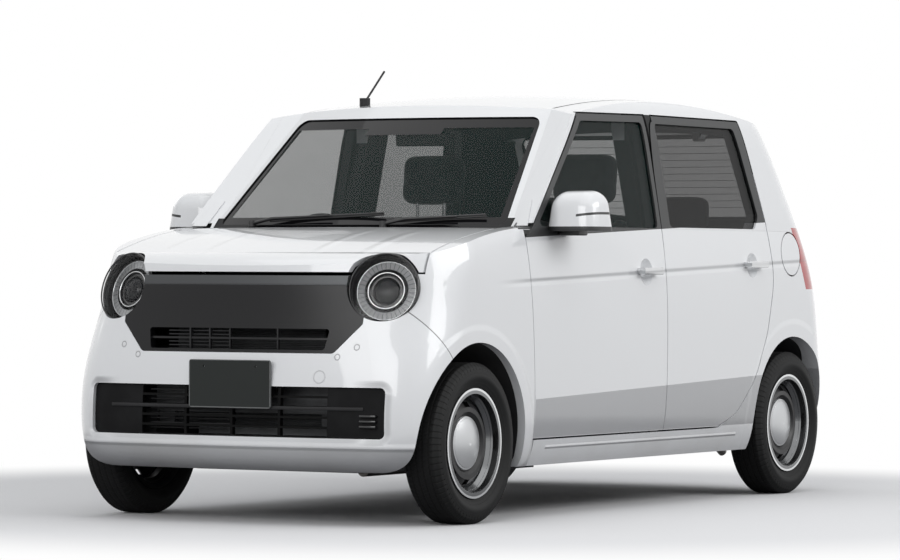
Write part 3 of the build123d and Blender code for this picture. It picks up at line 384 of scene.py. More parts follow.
shell_enamel = enamel("shell_enamel", side_creases, shell_lining, LINING, 0.85)
x, y, z = shell_enamel.place()
lamp_return = z.between(*RETURN_Z) * (y + RETURN_LEAN * z > RETURN_Y) * (abs(x) > SKIN_X)
shell_enamel.paint_over(lamp_return, LENS_RED)
wearing("body_shell", shell_enamel)


def wing_marks(finish):
    """The black edge under the pillar's foot, and the shut line from the lamp to the arch."""
    x, y, z = finish.place()
    edge = (z > WING_EDGE_Z) * (y > WING_EDGE_Y)
    shut = finish.stripe((z + SHUT_LEAN * y + SHUT_OFFSET) / SHUT_SPAN, SHUT_HALF, 0.5)
    shut = shut * (abs(x) > SIDE_X) * (z < SHUT_TOP_Z) * (y < SHUT_BACK_Y)
    return (edge + shut * SHUT_SHARE).below(1.0)


wearing("front_fenders", enamel("wing_enamel", side_creases, wing_marks))
wearing("fuel_lid", enamel("lid_enamel", side_creases))


def frame_and_trim(finish):
    """Black frames above the waist, and the trim board on the door's inner face."""
    x, y, z = finish.place()
    nx = finish.facing()[0]
    above = z > WAIST_Z + WAIST_RISE * y
    inner = nx * x.sign() < -0.5
    return (above + inner).below(1.0)


for door, handle_y, handle_z in DOOR_HANDLES:
    finish = enamel(f"{door}_door_enamel", side_creases, frame_and_trim)
    x, y, z = finish.place()
    plated = (abs(y - handle_y) < HANDLE_HALF_Y) * (abs(z - handle_z) < HANDLE_HALF_Z)
    plated = (abs(x) > HANDLE_X) * plated
    finish.paint_over(plated, BRIGHTWORK)
    finish.feed("Metallic", plated * 0.9)
    for side in ("left", "right"):
        wearing(f"{door}_door_{side}", finish)


def bonnet_creases(finish):
    """Two soft ribs on each half, which run back from the lamps."""
    x, y, z = finish.place()
    ribs = sum(finish.stripe(abs(x) - rib_x, half, 1.0) for rib_x, half in BONNET_RIBS)
    fade = finish.ease(y, -1.60, -1.38) * (1 - finish.ease(y, -1.20, -1.02))
    return BONNET_RIB_HEIGHT * ribs * fade


wearing("hood", enamel("bonnet_enamel", bonnet_creases))


def rings(finish, table, width):
    """1 on thin rings of the given centres and radii, seen from the front."""
    x, y, z = finish.place()
    return sum(finish.stripe(span(x - ring_x, z - ring_z) - radius, width, 0.6)
               for ring_x, ring_z, radius in table)


def bumper_creases(finish):
    """The hollows round the intake's cheeks, the step down to the lip, and the round covers."""
    x, y, z = finish.place()
    step = (z - STEP_Z).below(0.0) * STEP_SLOPE
    ridge = RIDGE_HEIGHT * finish.stripe(z - STEP_RIDGE_Z, 0.016, 1.0)
    reach = span((abs(x) - CHEEK_X).above(0.0), (abs(z - CHEEK_Z) - CHEEK_HALF).above(0.0))
    hollow = -HOLLOW_DEPTH * (1 - finish.ease(reach, *HOLLOW_REACH))
    hollow = hollow * finish.ease(abs(x), *HOLLOW_X)
    covers = 0.0015 * rings(finish, [*SENSORS, TOW_COVER], 0.003)
    return (step + ridge + hollow) * (y < BUMPER_BACK_Y) - covers


def bumper_marks(finish):
    """The dark gap round each parking sensor, and a fainter one round the tow cover."""
    return rings(finish, SENSORS, 0.0022) * 0.75 + rings(finish, [TOW_COVER], 0.0016) * 0.4


wearing("front_bumper", enamel("bumper_enamel", bumper_creases, bumper_marks, SENSOR_GREY))


def rear_creases(finish):
    """The pressed shelf under the rear glass, and the tuck under the bumper."""
    x, y, z = finish.place()
    shelf = SHELF_HEIGHT * finish.ease(z, *SHELF_Z)
    return shelf + (z - REAR_TUCK_Z).below(0.0) * REAR_TUCK_SLOPE


wearing("tailgate", enamel("tailgate_enamel", rear_creases,
                           lambda finish: finish.facing()[1] < -0.35, LINING, 0.8))
wearing("rear_bumper", enamel("rear_bumper_enamel", rear_creases))

# ---- Underside
# The floor, suspension, exhaust and tank are steel in black wax and grey stone-chip coating, with
# pressed stiffening ribs. The wheel-arch liners are moulded black felt.
RIB_PITCH, RIB_HEIGHT, FIN_PITCH, FIN_HEIGHT = 0.14, 0.004, 0.006, 0.002


def coated(name, colour, roughness, heights=None, grain=70.0, **settings):
    """A dull coating with a fine grain and a slight change of tone."""
    finish = Finish(name, colour, roughness, **settings)
    tone = finish.ease(finish.noise(9.0, 4.0), 0.3, 0.8)
    worn = tuple(part * 1.5 + 0.004 for part in colour)
    finish.feed("Base Color", finish.mix(tone, colour, worn))
    grit = finish.noise(grain * 6, 3.0) * 0.00025
    finish.relief(grit + heights(finish) if heights else grit)
    return finish


def floor_ribs(finish):
    x, y, z = finish.place()
    return RIB_HEIGHT * finish.ease((x + 3.0).wave(RIB_PITCH), 0.35, 0.6) * (abs(x) < 0.48)


def core_fins(finish):
    x, y, z = finish.place()
    return FIN_HEIGHT * (z + 3.0).wave(FIN_PITCH)


wearing("floor_pan", coated("stone_chip_coating", (0.030, 0.031, 0.032), 0.75, floor_ribs))
for name in ("front_suspension", "rear_axle", "front_knuckle_left", "front_knuckle_right"):
    wearing(name, coated(f"{name}_wax", (0.035, 0.036, 0.038), 0.5, metallic=0.35))
wearing("engine", coated("cast_alloy", (0.16, 0.165, 0.17), 0.5, metallic=0.8))
wearing("radiator", coated("radiator_core", (0.02, 0.021, 0.022), 0.6, core_fins))
wearing("exhaust", coated("exhaust_steel", (0.20, 0.19, 0.18), 0.45, metallic=0.9))
wearing("fuel_tank", coated("tank_resin", (0.03, 0.03, 0.032), 0.6, floor_ribs))
wearing("wheel_houses", coated("liner_felt", (0.010, 0.010, 0.011), 0.95, grain=120.0))

# ---- Seats
# Each seat is moulded foam under dark woven cloth, sewn in panels with pulled-in channels, on a
# steel base. The headrests stand on two chromed rods.
CLOTH, FLECK, STITCH = (0.030, 0.031, 0.034), (0.050, 0.051, 0.055), (0.010, 0.010, 0.011)
THREAD = 0.0035
SEAMS = (0.19, 0.47)
CHANNEL_HALF, CHANNEL_DEPTH, CHANNEL_REACH = 0.007, 0.010, 0.02
FOAM_GRID = 0.011
STUFFING_PRESSURE, CLOTH_TENSION, STUFFING_FRAMES = 4.0, 40, 14
CLOTH_ANGLE = 60
SEAT_X = 0.330
FRONT_PADS = (
    ("cushion", (-0.230, -0.355, 0.418), (0.230, 0.125, 0.528), 0.04),
    ("back", (-0.220, 0.062, 0.480), (0.220, 0.172, 1.092), 0.235),
    ("headrest", (-0.125, 0.225, 1.128), (0.125, 0.322, 1.312), 0.12),
)
REAR_PADS = (
    ("rear_cushion", (-0.545, 0.545, 0.435), (0.545, 0.985, 0.565), 0.05),
    ("rear_back", (-0.545, 0.965, 0.520), (0.545, 1.065, 1.015), 0.22),
)
REAR_HEADREST = ((0.182, 1.098, 1.035), (0.418, 1.185, 1.165), 0.08)
SEAT_BASE = (
    ((-0.190, -0.30, 0.216), (0.190, 0.105, 0.425), 0.02),
    ((-0.215, -0.31, 0.235), (-0.193, 0.15, 0.40), 0.008),
    ((0.193, -0.31, 0.235), (0.215, 0.15, 0.40), 0.008),
)
ROD_REACH, ROD_RADIUS, ROD_LENGTH = 0.06, 0.006, 0.09
REAR_ROD_X = 0.30


def shape(kind, place=(0, 0, 0), scale=(1, 1, 1), turn=(0, 0, 0), **settings):
    """Adds a primitive, turned and sized, and applies its place to its mesh."""
    bpy.ops.object.select_all(action="DESELECT")
    getattr(bpy.ops.mesh, f"primitive_{kind}_add")(location=place, rotation=turn, **settings)
    piece = bpy.context.object
    piece.scale = scale
    bpy.ops.object.transform_apply(location=True, rotation=True, scale=True)
    return piece


def only(piece):
    """Selects that piece and nothing else."""
    bpy.ops.object.select_all(action="DESELECT")
    piece.select_set(True)
    bpy.context.view_layer.objects.active = piece


def modify(piece, kind, **settings):
    """Adds a modifier and applies it."""
    only(piece)
    modifier = piece.modifiers.new(kind.lower(), kind)
    for key, value in settings.items():
        setattr(modifier, key, value)
    bpy.ops.object.modifier_apply(modifier=modifier.name)
    return piece


def block(low, high, edge=0.004, steps=2):
    """A box between two corners with its edges rounded."""
    place = [(a + b) / 2 for a, b in zip(low, high)]
    piece = shape("cube", place, [b - a for a, b in zip(low, high)], size=1)
    return modify(piece, "BEVEL", width=edge, segments=steps, limit_method="ANGLE")


def joined(pieces):
    """Joins pieces into the first."""
    only(pieces[0])
    for piece in pieces:
        piece.select_set(True)
    bpy.ops.object.join()
    return pieces[0]


def pick(piece, test):
    """Opens a piece for editing, with the faces selected whose centre and normal pass a test."""
    only(piece)
    bpy.ops.object.mode_set(mode="EDIT")
    bpy.ops.mesh.select_mode(type="FACE")
    bpy.ops.mesh.select_all(action="DESELECT")
    bpy.ops.object.mode_set(mode="OBJECT")
    for face in piece.data.polygons:
        face.select = bool(test(face.center, face.normal))
    bpy.ops.object.mode_set(mode="EDIT")


def close_edit():
    bpy.ops.object.mode_set(mode="OBJECT")


def mirrored(piece):
    """A copy on the other side of the car, with its own mesh and its faces pointing out."""
    only(piece)
    bpy.ops.object.duplicate()
    twin = bpy.context.object
    twin.scale = (-1, 1, 1)
    bpy.ops.object.transform_apply(location=True, rotation=True, scale=True)
    bpy.ops.object.mode_set(mode="EDIT")
    bpy.ops.mesh.select_all(action="SELECT")
    bpy.ops.mesh.normals_make_consistent(inside=False)
    close_edit()
    return twin


def fasten(piece, name, body, finish, angle=35):
    """Names a finished piece, smooths it, gives it its finish and fixes it to its body."""
    piece.name = name
    only(piece)
    bpy.ops.object.shade_smooth_by_angle(angle=math.radians(angle))
    piece.data.materials.clear()
    piece.data.materials.append(finish.material)
    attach(piece, body)
    return piece


cloth = Finish("woven_seat_cloth", CLOTH, 0.9, sheen_weight=0.35, sheen_roughness=0.5)
x, y, z = cloth.place()
weave = (x + 3.0).wave(THREAD) * (y + z + 5.0).wave(THREAD)
stitched = cloth.stripe(abs(x) - SEAMS[0], THREAD) + cloth.stripe(abs(x) - SEAMS[1], THREAD)
fleck = cloth.mix(cloth.ease(cloth.noise(30.0), 0.3, 0.75), CLOTH, FLECK)
cloth.feed("Base Color", cloth.mix(stitched, fleck, STITCH))
cloth.relief(weave * 0.0006 - 0.002 * stitched)


def cushion(low, high, lean, channels=()):
    """A foam pad between two corners, rounded, with channels pressed in its face, leaned back."""
    middle = Vector([(a + b) / 2 for a, b in zip(low, high)])
    size = Vector([b - a for a, b in zip(low, high)])
    lies_flat = size.z < size.y
    pad = shape("cube", middle, size, size=1)
    modify(pad, "BEVEL", width=0.36 * (size.z if lies_flat else size.y), segments=5)
    modify(pad, "REMESH", mode="VOXEL", voxel_size=FOAM_GRID)
    for across in channels:
        pick(pad, lambda centre, normal: abs((centre - middle).x - across) < CHANNEL_HALF
             and (normal.z if lies_flat else -normal.y) > 0.6)
        bpy.ops.transform.translate(
            value=(0, 0, -CHANNEL_DEPTH) if lies_flat else (0, CHANNEL_DEPTH, 0),
            use_proportional_edit=True, proportional_size=CHANNEL_REACH)
        close_edit()
    only(pad)
    stuffing = pad.modifiers.new("stuffing", "CLOTH")
    stuffing.settings.use_pressure = True
    stuffing.settings.uniform_pressure_force = STUFFING_PRESSURE
    stuffing.settings.effector_weights.gravity = 0.0
    stuffing.settings.tension_stiffness = CLOTH_TENSION
    stuffing.point_cache.frame_end = STUFFING_FRAMES
    for moment in range(1, STUFFING_FRAMES + 1):
        scene.frame_set(moment)
    bpy.ops.object.modifier_apply(modifier=stuffing.name)
    scene.frame_set(1)
    modify(pad, "SMOOTH", factor=0.5, iterations=4)
    modify(pad, "SUBSURF", levels=1, render_levels=1)
    pick(pad, lambda centre, normal: True)
    bpy.ops.transform.rotate(value=lean, orient_axis="X",
                             center_override=(middle.x, middle.y, low[2]))
    close_edit()
    return pad


for part, low, high, lean in FRONT_PADS:
    shifted = [Vector(corner) + Vector((SEAT_X, 0, 0)) for corner in (low, high)]
    channels = [line - SEAT_X for line in SEAMS] if part != "headrest" else []
    pad = cushion(*shifted, lean, channels)
    for piece, side in ((pad, "left"), (mirrored(pad), "right")):
        fasten(piece, f"front_seat_{part}_{side}", "body", cloth, CLOTH_ANGLE)
        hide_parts("front_seats")
for part, low, high, lean in REAR_PADS:
    channels = [side * line for side in (-1, 1) for line in SEAMS]
    pad = cushion(low, high, lean, channels)
    fasten(pad, part, "body", cloth, CLOTH_ANGLE)
    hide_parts("rear_seat")
pad = cushion(*REAR_HEADREST)
for piece, side in ((pad, "left"), (mirrored(pad), "right")):
    fasten(piece, f"rear_headrest_{side}", "body", cloth, CLOTH_ANGLE)
    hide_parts("rear_seat")

seat_resin = coated("seat_base_resin", (0.025, 0.025, 0.027), 0.6)
chrome = Finish("headrest_rod", (0.55, 0.55, 0.56), 0.18, metallic=1.0)
chrome.relief(chrome.noise(900.0) * 0.00001)


def rod(x, y, z):
    return shape("cylinder", (x, y, z), radius=ROD_RADIUS, depth=ROD_LENGTH, vertices=16)


front_base, rods = [], []
for seat_x in (SEAT_X, -SEAT_X):
    for low, high, edge in SEAT_BASE:
        corners = [Vector(corner) + Vector((seat_x, 0, 0)) for corner in (low, high)]
        front_base.append(block(*corners, edge))
    for reach in (-ROD_REACH, ROD_REACH):
        rods.append(rod(seat_x + reach, 0.263, 1.112))
        rods.append(rod(math.copysign(REAR_ROD_X, seat_x) + reach, 1.125, 1.02))
base = fasten(joined(front_base), "front_seat_bases", "body", seat_resin)
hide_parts("front_seats")
base = block((-0.54, 0.655, 0.395), (0.54, 0.985, 0.46), 0.01)
fasten(base, "rear_seat_base", "body", seat_resin)
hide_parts("rear_seat")
fasten(joined(rods), "headrest_rods", "body", chrome)

# ---- Dashboard and steering wheel
# The dashboard is one grained moulding; a screen and four vents are let into it, and the mirror
# hangs from the windscreen header. The wheel rim is leather over foam.
VENT_WALL, VENT_SINK = 0.006, 0.014
VENT_SLATS_Z, SLAT_HALF = (0.895, 0.9125, 0.930), 0.002

dash = coated("dashboard_grain", (0.030, 0.031, 0.033), 0.62, grain=160.0)
wearing("dashboard", dash)
wheel_leather = coated("wheel_leather", (0.016, 0.016, 0.017), 0.45, grain=220.0)
wearing("steering_wheel", wheel_leather)
screen_glass = Finish("screen_glass", (0.006, 0.007, 0.009), 0.08)
screen_glass.relief(screen_glass.noise(400.0) * 0.000005)
display = block((-0.105, -0.620, 0.880), (0.105, -0.592, 1.005), 0.005)
fasten(display, "dashboard_screen", "body", screen_glass)


def recess(piece, test, wall, push):
    """Insets the faces that pass a test and pushes them in."""
    pick(piece, test)
    bpy.ops.mesh.inset(thickness=wall)
    bpy.ops.mesh.extrude_region_move(TRANSFORM_OT_translate={"value": push})
    close_edit()


vents = []
for vent_x, half in ((-0.555, 0.035), (-0.175, 0.045), (0.175, 0.045), (0.555, 0.035)):
    surround = block((vent_x - half, -0.584, 0.880), (vent_x + half, -0.560, 0.945), 0.006)
    recess(surround, lambda centre, normal: normal.y > 0.9, VENT_WALL, (0, -VENT_SINK, 0))
    vents.append(surround)
    reach = half - 0.005
    for slat_z in VENT_SLATS_Z:
        vents.append(block((vent_x - reach, -0.578, slat_z - SLAT_HALF),
                           (vent_x + reach, -0.562, slat_z + SLAT_HALF), 0.001))
fasten(joined(vents), "dashboard_vents", "body", dash)
mirror_back = block((-0.115, -0.385, 1.330), (0.115, -0.362, 1.388), 0.018, steps=4)
stalk = shape("cylinder", (0, -0.395, 1.395), turn=(0.6, 0, 0), radius=0.008, depth=0.06,
              vertices=16)
foot = block((-0.03, -0.425, 1.392), (0.03, -0.395, 1.410), 0.006)
fasten(joined([mirror_back, stalk, foot]), "inside_mirror", "body", wheel_leather)

# ---- Glass
# The windscreen and front side glass are green-tinted, with a black ceramic border fired on the
# windscreen; the rear side and tailgate glass are dark, with heating lines on the tailgate.
CLEAR_TINT, DARK_TINT = (0.004, 0.017, 0.015), (0.006, 0.0065, 0.0065)
CERAMIC = (0.006, 0.006, 0.007)
SCREEN_FOOT_Z = 1.024
SCREEN_HALF, SCREEN_TAPER, BORDER_WIDTH = 0.607, 0.2, 0.035
BORDER_TOP_Z, BORDER_FOOT_Z, PATCH_HALF, PATCH_Z = 1.392, 1.062, 0.16, 1.368
HEATING_PITCH, HEATED_HALF, HEATED_Z = 0.027, 0.47, (1.11, 1.39)
REAR_BORDER_HALF, REAR_BORDER_TOP_Z, REAR_BORDER_FOOT_Z = 0.505, 1.402, 1.092


def tinted(name, tint, density, border=None):
    """Tinted glass whose faces each hide a share of what is behind; a fired border hides it all."""
    finish = Finish(name, tint, 0.03, ior=1.3)
    haze = finish.ease(finish.noise(3.0), 0.4, 0.9)
    colour = finish.mix(haze * 0.5, tint, tuple(part * 0.7 for part in tint))
    shade = density + haze * 0.01
    if border:
        fired = border(finish)
        colour = finish.mix(fired, colour, CERAMIC)
        shade = shade.above(fired)
    finish.feed("Base Color", colour)
    finish.feed("Alpha", shade)
    return finish


def screen_border(finish):
    """The black border of the windscreen, wider at the top middle."""
    x, y, z = finish.place()
    edge = SCREEN_HALF - SCREEN_TAPER * (z - SCREEN_FOOT_Z)
    ends = (abs(x) > edge - BORDER_WIDTH) + (z > BORDER_TOP_Z) + (z < BORDER_FOOT_Z)
    return (ends + (abs(x) < PATCH_HALF) * (z > PATCH_Z)).below(1.0)


def heating(finish):
    """The fine heating lines and the border of the tailgate glass."""
    x, y, z = finish.place()
    lines = finish.stripe((z + 5.0).wave(HEATING_PITCH), 0.075)
    lines = lines * (abs(x) < HEATED_HALF) * z.between(*HEATED_Z)
    ends = (z > REAR_BORDER_TOP_Z) + (z < REAR_BORDER_FOOT_Z)
    return (lines + (abs(x) > REAR_BORDER_HALF) + ends).below(1.0)


wearing("windscreen", tinted("green_windscreen", CLEAR_TINT, 0.30, screen_border))
wearing("tailgate_glass", tinted("heated_tailgate_glass", DARK_TINT, 0.43, heating))
side_tint = tinted("green_side_glass", CLEAR_TINT, 0.28)
dark_tint = tinted("privacy_glass", DARK_TINT, 0.46)
for side in ("left", "right"):
    wearing(f"front_door_glass_{side}", side_tint)
    wearing(f"rear_door_glass_{side}", dark_tint)

# ---- Wipers and cowl
# The cowl is a grained black moulding with a leaf screen. Two pressed arms with rubber blades
# park along the foot of the windscreen. The rod aerial is of the same grained resin.
SCREEN_FOOT_Y, SCREEN_RAKE = -0.940, 1.179
SCREEN_BOW, BOW_HALF = 0.102, 0.59
BLADE_LIFT = (0, -0.003, 0.006)
LEAF_PITCH = 0.012


def leaf_screen(finish):
    x, y, z = finish.place()
    return 0.002 * (x + 3.0).wave(LEAF_PITCH)


grained = coated("grained_resin", (0.010, 0.010, 0.011), 0.55, grain=150.0, specular_ior_level=0.3)
wearing("cowl", coated("cowl_resin", (0.014, 0.014, 0.015), 0.6, leaf_screen, 150.0))
wearing("antenna", grained)


def bar(start, end, radius, end_radius, sides=12):
    """A tapered bar between two points."""
    start, end = Vector(start), Vector(end)
    way = end - start
    turn = way.to_track_quat("Z", "Y").to_euler()
    return shape("cone", (start + end) / 2, turn=turn, vertices=sides, radius1=radius,
                 radius2=end_radius, depth=way.length)


def wiper(pivot, elbow, tip, blade_low, blade_high):
    """A capped pivot, a tapered arm in two lengths, and a flat blade on its carrier."""
    raised = [Vector(point) + Vector(BLADE_LIFT) for point in (blade_low, blade_high)]
    return joined([
        shape("cylinder", pivot, radius=0.013, depth=0.022, vertices=20),
        bar(pivot, elbow, 0.007, 0.006),
        bar(elbow, tip, 0.006, 0.0035),
        bar(blade_low, blade_high, 0.005, 0.004, 6),
        bar(*raised, 0.0035, 0.003, 6),
    ])


def on_screen(x, z, off):
    """A point over the windscreen's face at a place across and a height."""
    y = SCREEN_FOOT_Y + (z - 1.027) * SCREEN_RAKE + SCREEN_BOW * (x / BOW_HALF) ** 2
    return (x, y - off * 0.65, z + off * 0.76)


arms = [
    wiper(on_screen(-0.42, 1.032, 0.010), on_screen(-0.33, 1.044, 0.018),
          on_screen(-0.08, 1.058, 0.014), on_screen(-0.34, 1.044, 0.008),
          on_screen(0.14, 1.066, 0.008)),
    wiper(on_screen(0.16, 1.030, 0.010), on_screen(0.24, 1.042, 0.018),
          on_screen(0.42, 1.054, 0.014), on_screen(0.20, 1.042, 0.008),
          on_screen(0.52, 1.060, 0.008)),
]
wiper_black = coated("wiper_black", (0.012, 0.012, 0.013), 0.4, grain=200.0)
fasten(joined(arms), "front_wipers", "body", wiper_black)

# ---- Pillar feet
# A white moulded cover is clipped over each windscreen pillar's foot, where the pillar's skin, the
# wing and the door meet.
PILLAR_FOOT = ((0.6500, -0.8380, 1.0300), (0.7020, -0.8520, 1.0300),
               (0.6331, -0.7352, 1.1238), (0.6595, -0.7428, 1.1236))

foot_enamel = enamel("pillar_foot_enamel")
cover = shape("plane", size=1)
for vertex, corner in zip(cover.data.vertices, PILLAR_FOOT):
    vertex.co = corner
modify(cover, "SOLIDIFY", thickness=0.003, offset=1)
for piece, side in ((cover, "left"), (mirrored(cover), "right")):
    fasten(piece, f"pillar_foot_cover_{side}", "body", foot_enamel)

# ---- Headlamps
# Each lamp is a deep black bowl with a ribbed silver ring, a bright inner ring and a projector,
# behind a clear moulded lens with a black bezel.
LAMP_CENTRE = Vector((0.526, -1.548, 0.812))
LAMP_FACING = Vector((0.2475, -0.9237, 0.2924)).normalized()
LAMP_SIDE = Vector((0.966, 0.259, 0.0)).normalized()
LAMP_UP = LAMP_FACING.cross(LAMP_SIDE).normalized()
LAMP_TURN = Matrix((LAMP_SIDE, LAMP_UP, LAMP_FACING)).transposed().to_euler()
COLLAR_EDGE, SILVER_IN, SILVER_OUT = 0.058, 0.0772, 0.1018
RIB_COUNT, TICK_COUNT = 120, 36
BOWL_BLACK, SILVER, COLLAR_GREY = (0.012, 0.012, 0.013), (0.46, 0.47, 0.48), (0.045, 0.047, 0.05)
LENS_TINT, LENS_HAZE = (0.02, 0.02, 0.021), (0.03, 0.031, 0.033)

bowl = Finish("lamp_bowl", (0.015, 0.015, 0.016), 0.3)
x, y, z = bowl.place()
dx, dy, dz = abs(x) - LAMP_CENTRE.x, y - LAMP_CENTRE.y, z - LAMP_CENTRE.z
deep = dx * LAMP_FACING.x + dy * LAMP_FACING.y + dz * LAMP_FACING.z
reach = (dx * dx + dy * dy + dz * dz - deep * deep).above(0.0).root()
sideways = dx * LAMP_SIDE.x + dy * LAMP_SIDE.y
rising = dx * LAMP_UP.x + dy * LAMP_UP.y + dz * LAMP_UP.z
angle = rising.bearing(sideways)
silver = reach.between(SILVER_IN, SILVER_OUT)
inner = reach.between(COLLAR_EDGE, SILVER_IN)
ticks = bowl.ease(angle.wave(math.tau / TICK_COUNT), 0.78, 0.92)
tone = bowl.mix(silver * (1 - ticks * 0.6), BOWL_BLACK, SILVER)
bowl.feed("Base Color", bowl.mix(inner, tone, COLLAR_GREY))
bowl.feed("Metallic", silver * 0.7)
bowl.feed("Roughness", 0.25 + silver * 0.2)
bowl.relief(angle.wave(math.tau / RIB_COUNT) * 0.0012 * (silver + inner).below(1.0))
wearing("headlamps", bowl)
lens = Finish("lamp_lens", LENS_TINT, 0.03, ior=1.7, alpha=0.09)
lens.feed("Base Color", lens.mix(lens.noise(4.0), LENS_TINT, LENS_HAZE))
wearing("headlamp_lenses", lens)

bright = Finish("bright_ring", (0.78, 0.79, 0.80), 0.12, metallic=1.0)
bright.relief(bright.noise(300.0) * 0.00002)
bezel_black = Finish("bezel_black", (0.008, 0.008, 0.009), 0.22, coat_weight=0.5)
bezel_black.relief(bezel_black.noise(300.0) * 0.00002)
glass_dome = Finish("projector_glass", (0.010, 0.011, 0.013), 0.10, ior=1.35)
glass_dome.relief(glass_dome.noise(40.0) * 0.0001)


def lamp_place(depth):
    """A point on the lamp's axis, ahead of its centre by that much."""
    return LAMP_CENTRE + LAMP_FACING * depth


def ring(depth, radius, thickness, sides=96):
    return shape("torus", lamp_place(depth), turn=LAMP_TURN, major_radius=radius,
                 minor_radius=thickness, major_segments=sides, minor_segments=12)


bright_rings = joined([ring(-0.031, 0.064, 0.0028), ring(-0.034, 0.1035, 0.0016)])
dome = shape("uv_sphere", lamp_place(-0.044), (0.046, 0.046, 0.024), LAMP_TURN,
             segments=48, ring_count=24, radius=1)
collar = shape("cylinder", lamp_place(-0.052), turn=LAMP_TURN, radius=COLLAR_EDGE, depth=0.03,
               vertices=64)
recess(collar, lambda centre, normal: normal.dot(LAMP_FACING) > 0.9, 0.010,
       tuple(LAMP_FACING * -0.012))
modify(collar, "BEVEL", width=0.0015, segments=2, limit_method="ANGLE")
bezel = joined([ring(0.0035, 0.1215, 0.0028, 128), ring(-0.010, 0.1175, 0.0022, 128)])
for piece, name, slot, finish in (
    (bright_rings, "lamp_bright_rings", "metal", bright),
    (dome, "lamp_projector", "lamp", glass_dome),
    (collar, "lamp_collar", "gloss_black", bezel_black),
    (bezel, "lamp_bezel", "gloss_black", bezel_black),
):
    twin = mirrored(piece)
    fasten(piece, f"{name}_left", "body", finish)
    fasten(twin, f"{name}_right", "body", finish)

# ---- Grille and intake
# The panel between the lamps is piano-black resin with a satin silver strip along its top. The slot
# and the lower intake have fine louvres, a thin bar and slotted cheeks, clipped in from behind.
STRIP_FOOT_Z, STRIP_HALF = 0.822, 0.455
PANEL_BLACK, STRIP_SILVER = (0.007, 0.007, 0.008), (0.075, 0.078, 0.081)
BEHIND_HALF_X, BEHIND_HALF_Z, BEHIND_BLACK = 0.376, 0.081, (0.0022, 0.0022, 0.0023)
LOUVRE_END, LOUVRE_FACE = -0.03, -1.640
POSTS_X, POST_HALF = (-0.19, -0.11, -0.028, 0.165), 0.003
CHEEK_SLOTS_Z = (0.338, 0.356, 0.374)
BAR_LENGTH, BAR_DEPTH, BAR_THICK = 1.02, 0.012, 0.006
BAR_Y, BAR_Z, BAR_BOW = -1.6875, 0.402, 0.122

panel = Finish("piano_black", (0.005, 0.005, 0.006), 0.26, specular_ior_level=0.28)
x, y, z = panel.place()
strip = (z > STRIP_FOOT_Z) * (abs(x) < STRIP_HALF)
panel.feed("Base Color", panel.mix(strip, PANEL_BLACK, STRIP_SILVER))
panel.feed("Roughness", 0.24 + strip * 0.12)
panel.feed("Metallic", strip * 0.6)
panel.relief(panel.noise(400.0) * 0.00001 - 0.0015 * panel.stripe(z - STRIP_FOOT_Z, 0.003))
wearing("front_grille", panel)
intake_resin = coated("intake_resin", (0.0065, 0.0065, 0.007), 0.6, grain=150.0,
                      specular_ior_level=0.1)
x, y, z = intake_resin.place()
behind = (abs(x) < BEHIND_HALF_X) * (abs(z - CHEEK_Z) < BEHIND_HALF_Z)
intake_resin.paint_over(behind, BEHIND_BLACK)
wearing("lower_grille", intake_resin)


def louvres(count, foot_z, pitch, start_x, back_y, thick):
    """Level slats from a start to the middle post, one over another."""
    return [block((start_x, LOUVRE_FACE, foot_z + pitch * level),
                  (LOUVRE_END, back_y, foot_z + pitch * level + thick), 0.001)
            for level in range(count)]


fine = louvres(7, 0.597, 0.0125, -0.285, -1.634, 0.0045)
for post_x in POSTS_X:
    fine.append(block((post_x - POST_HALF, -1.652, 0.591),
                      (post_x + POST_HALF, LOUVRE_FACE, 0.674), 0.001))
fine += louvres(9, 0.322, 0.0165, -0.36, -1.632, 0.0055)
fasten(joined(fine), "fine_louvres", "body", grained)
slots = [block((0.498, -1.6665, slot_z), (0.563, LOUVRE_FACE, slot_z + 0.009), 0.003)
         for slot_z in CHEEK_SLOTS_Z]
fasten(joined(slots), "intake_vents", "body", bezel_black)
blade = shape("grid", scale=(BAR_LENGTH, BAR_DEPTH, 1), turn=(math.radians(90), 0, 0),
              x_subdivisions=48, y_subdivisions=2, size=1)
for vertex in blade.data.vertices:
    across, _, rise = vertex.co
    vertex.co = (across, BAR_Y + BAR_BOW * across * across, BAR_Z + rise)
modify(blade, "SOLIDIFY", thickness=BAR_THICK, offset=0)
modify(blade, "BEVEL", width=0.0015, segments=2, limit_method="ANGLE")
fasten(blade, "intake_bar", "body", grained)

# ---- Number plates
# Two pressed aluminium plates, left blank, in dark paint with a folded rim. Two screws hold each,
# the front one on the bumper and the rear one on the tailgate.
PLATE_HALF_X, PLATE_HALF_Z = 0.1615, 0.0790
PLATE_DARK, PLATE_RIM = (0.020, 0.023, 0.022), (0.16, 0.165, 0.165)

for end, middle_z in (("front", 0.4815), ("rear", 0.7005)):
    plate = Finish(f"{end}_plate_paint", (0.019, 0.022, 0.021), 0.42, specular_ior_level=0.2)
    x, y, z = plate.place()
    past_x, past_z = abs(x) - PLATE_HALF_X, abs(z - middle_z) - PLATE_HALF_Z
    rim = ((past_x > 0.0) + (past_z > 0.0)).below(1.0)
    plate.feed("Base Color", plate.mix(rim, PLATE_DARK, PLATE_RIM))
    fold = 0.0012 * plate.ease(past_x.above(past_z), -0.002, 0.0015)
    plate.relief(fold + plate.noise(500.0) * 0.00002)
    wearing(f"{end}_number_plate", plate)

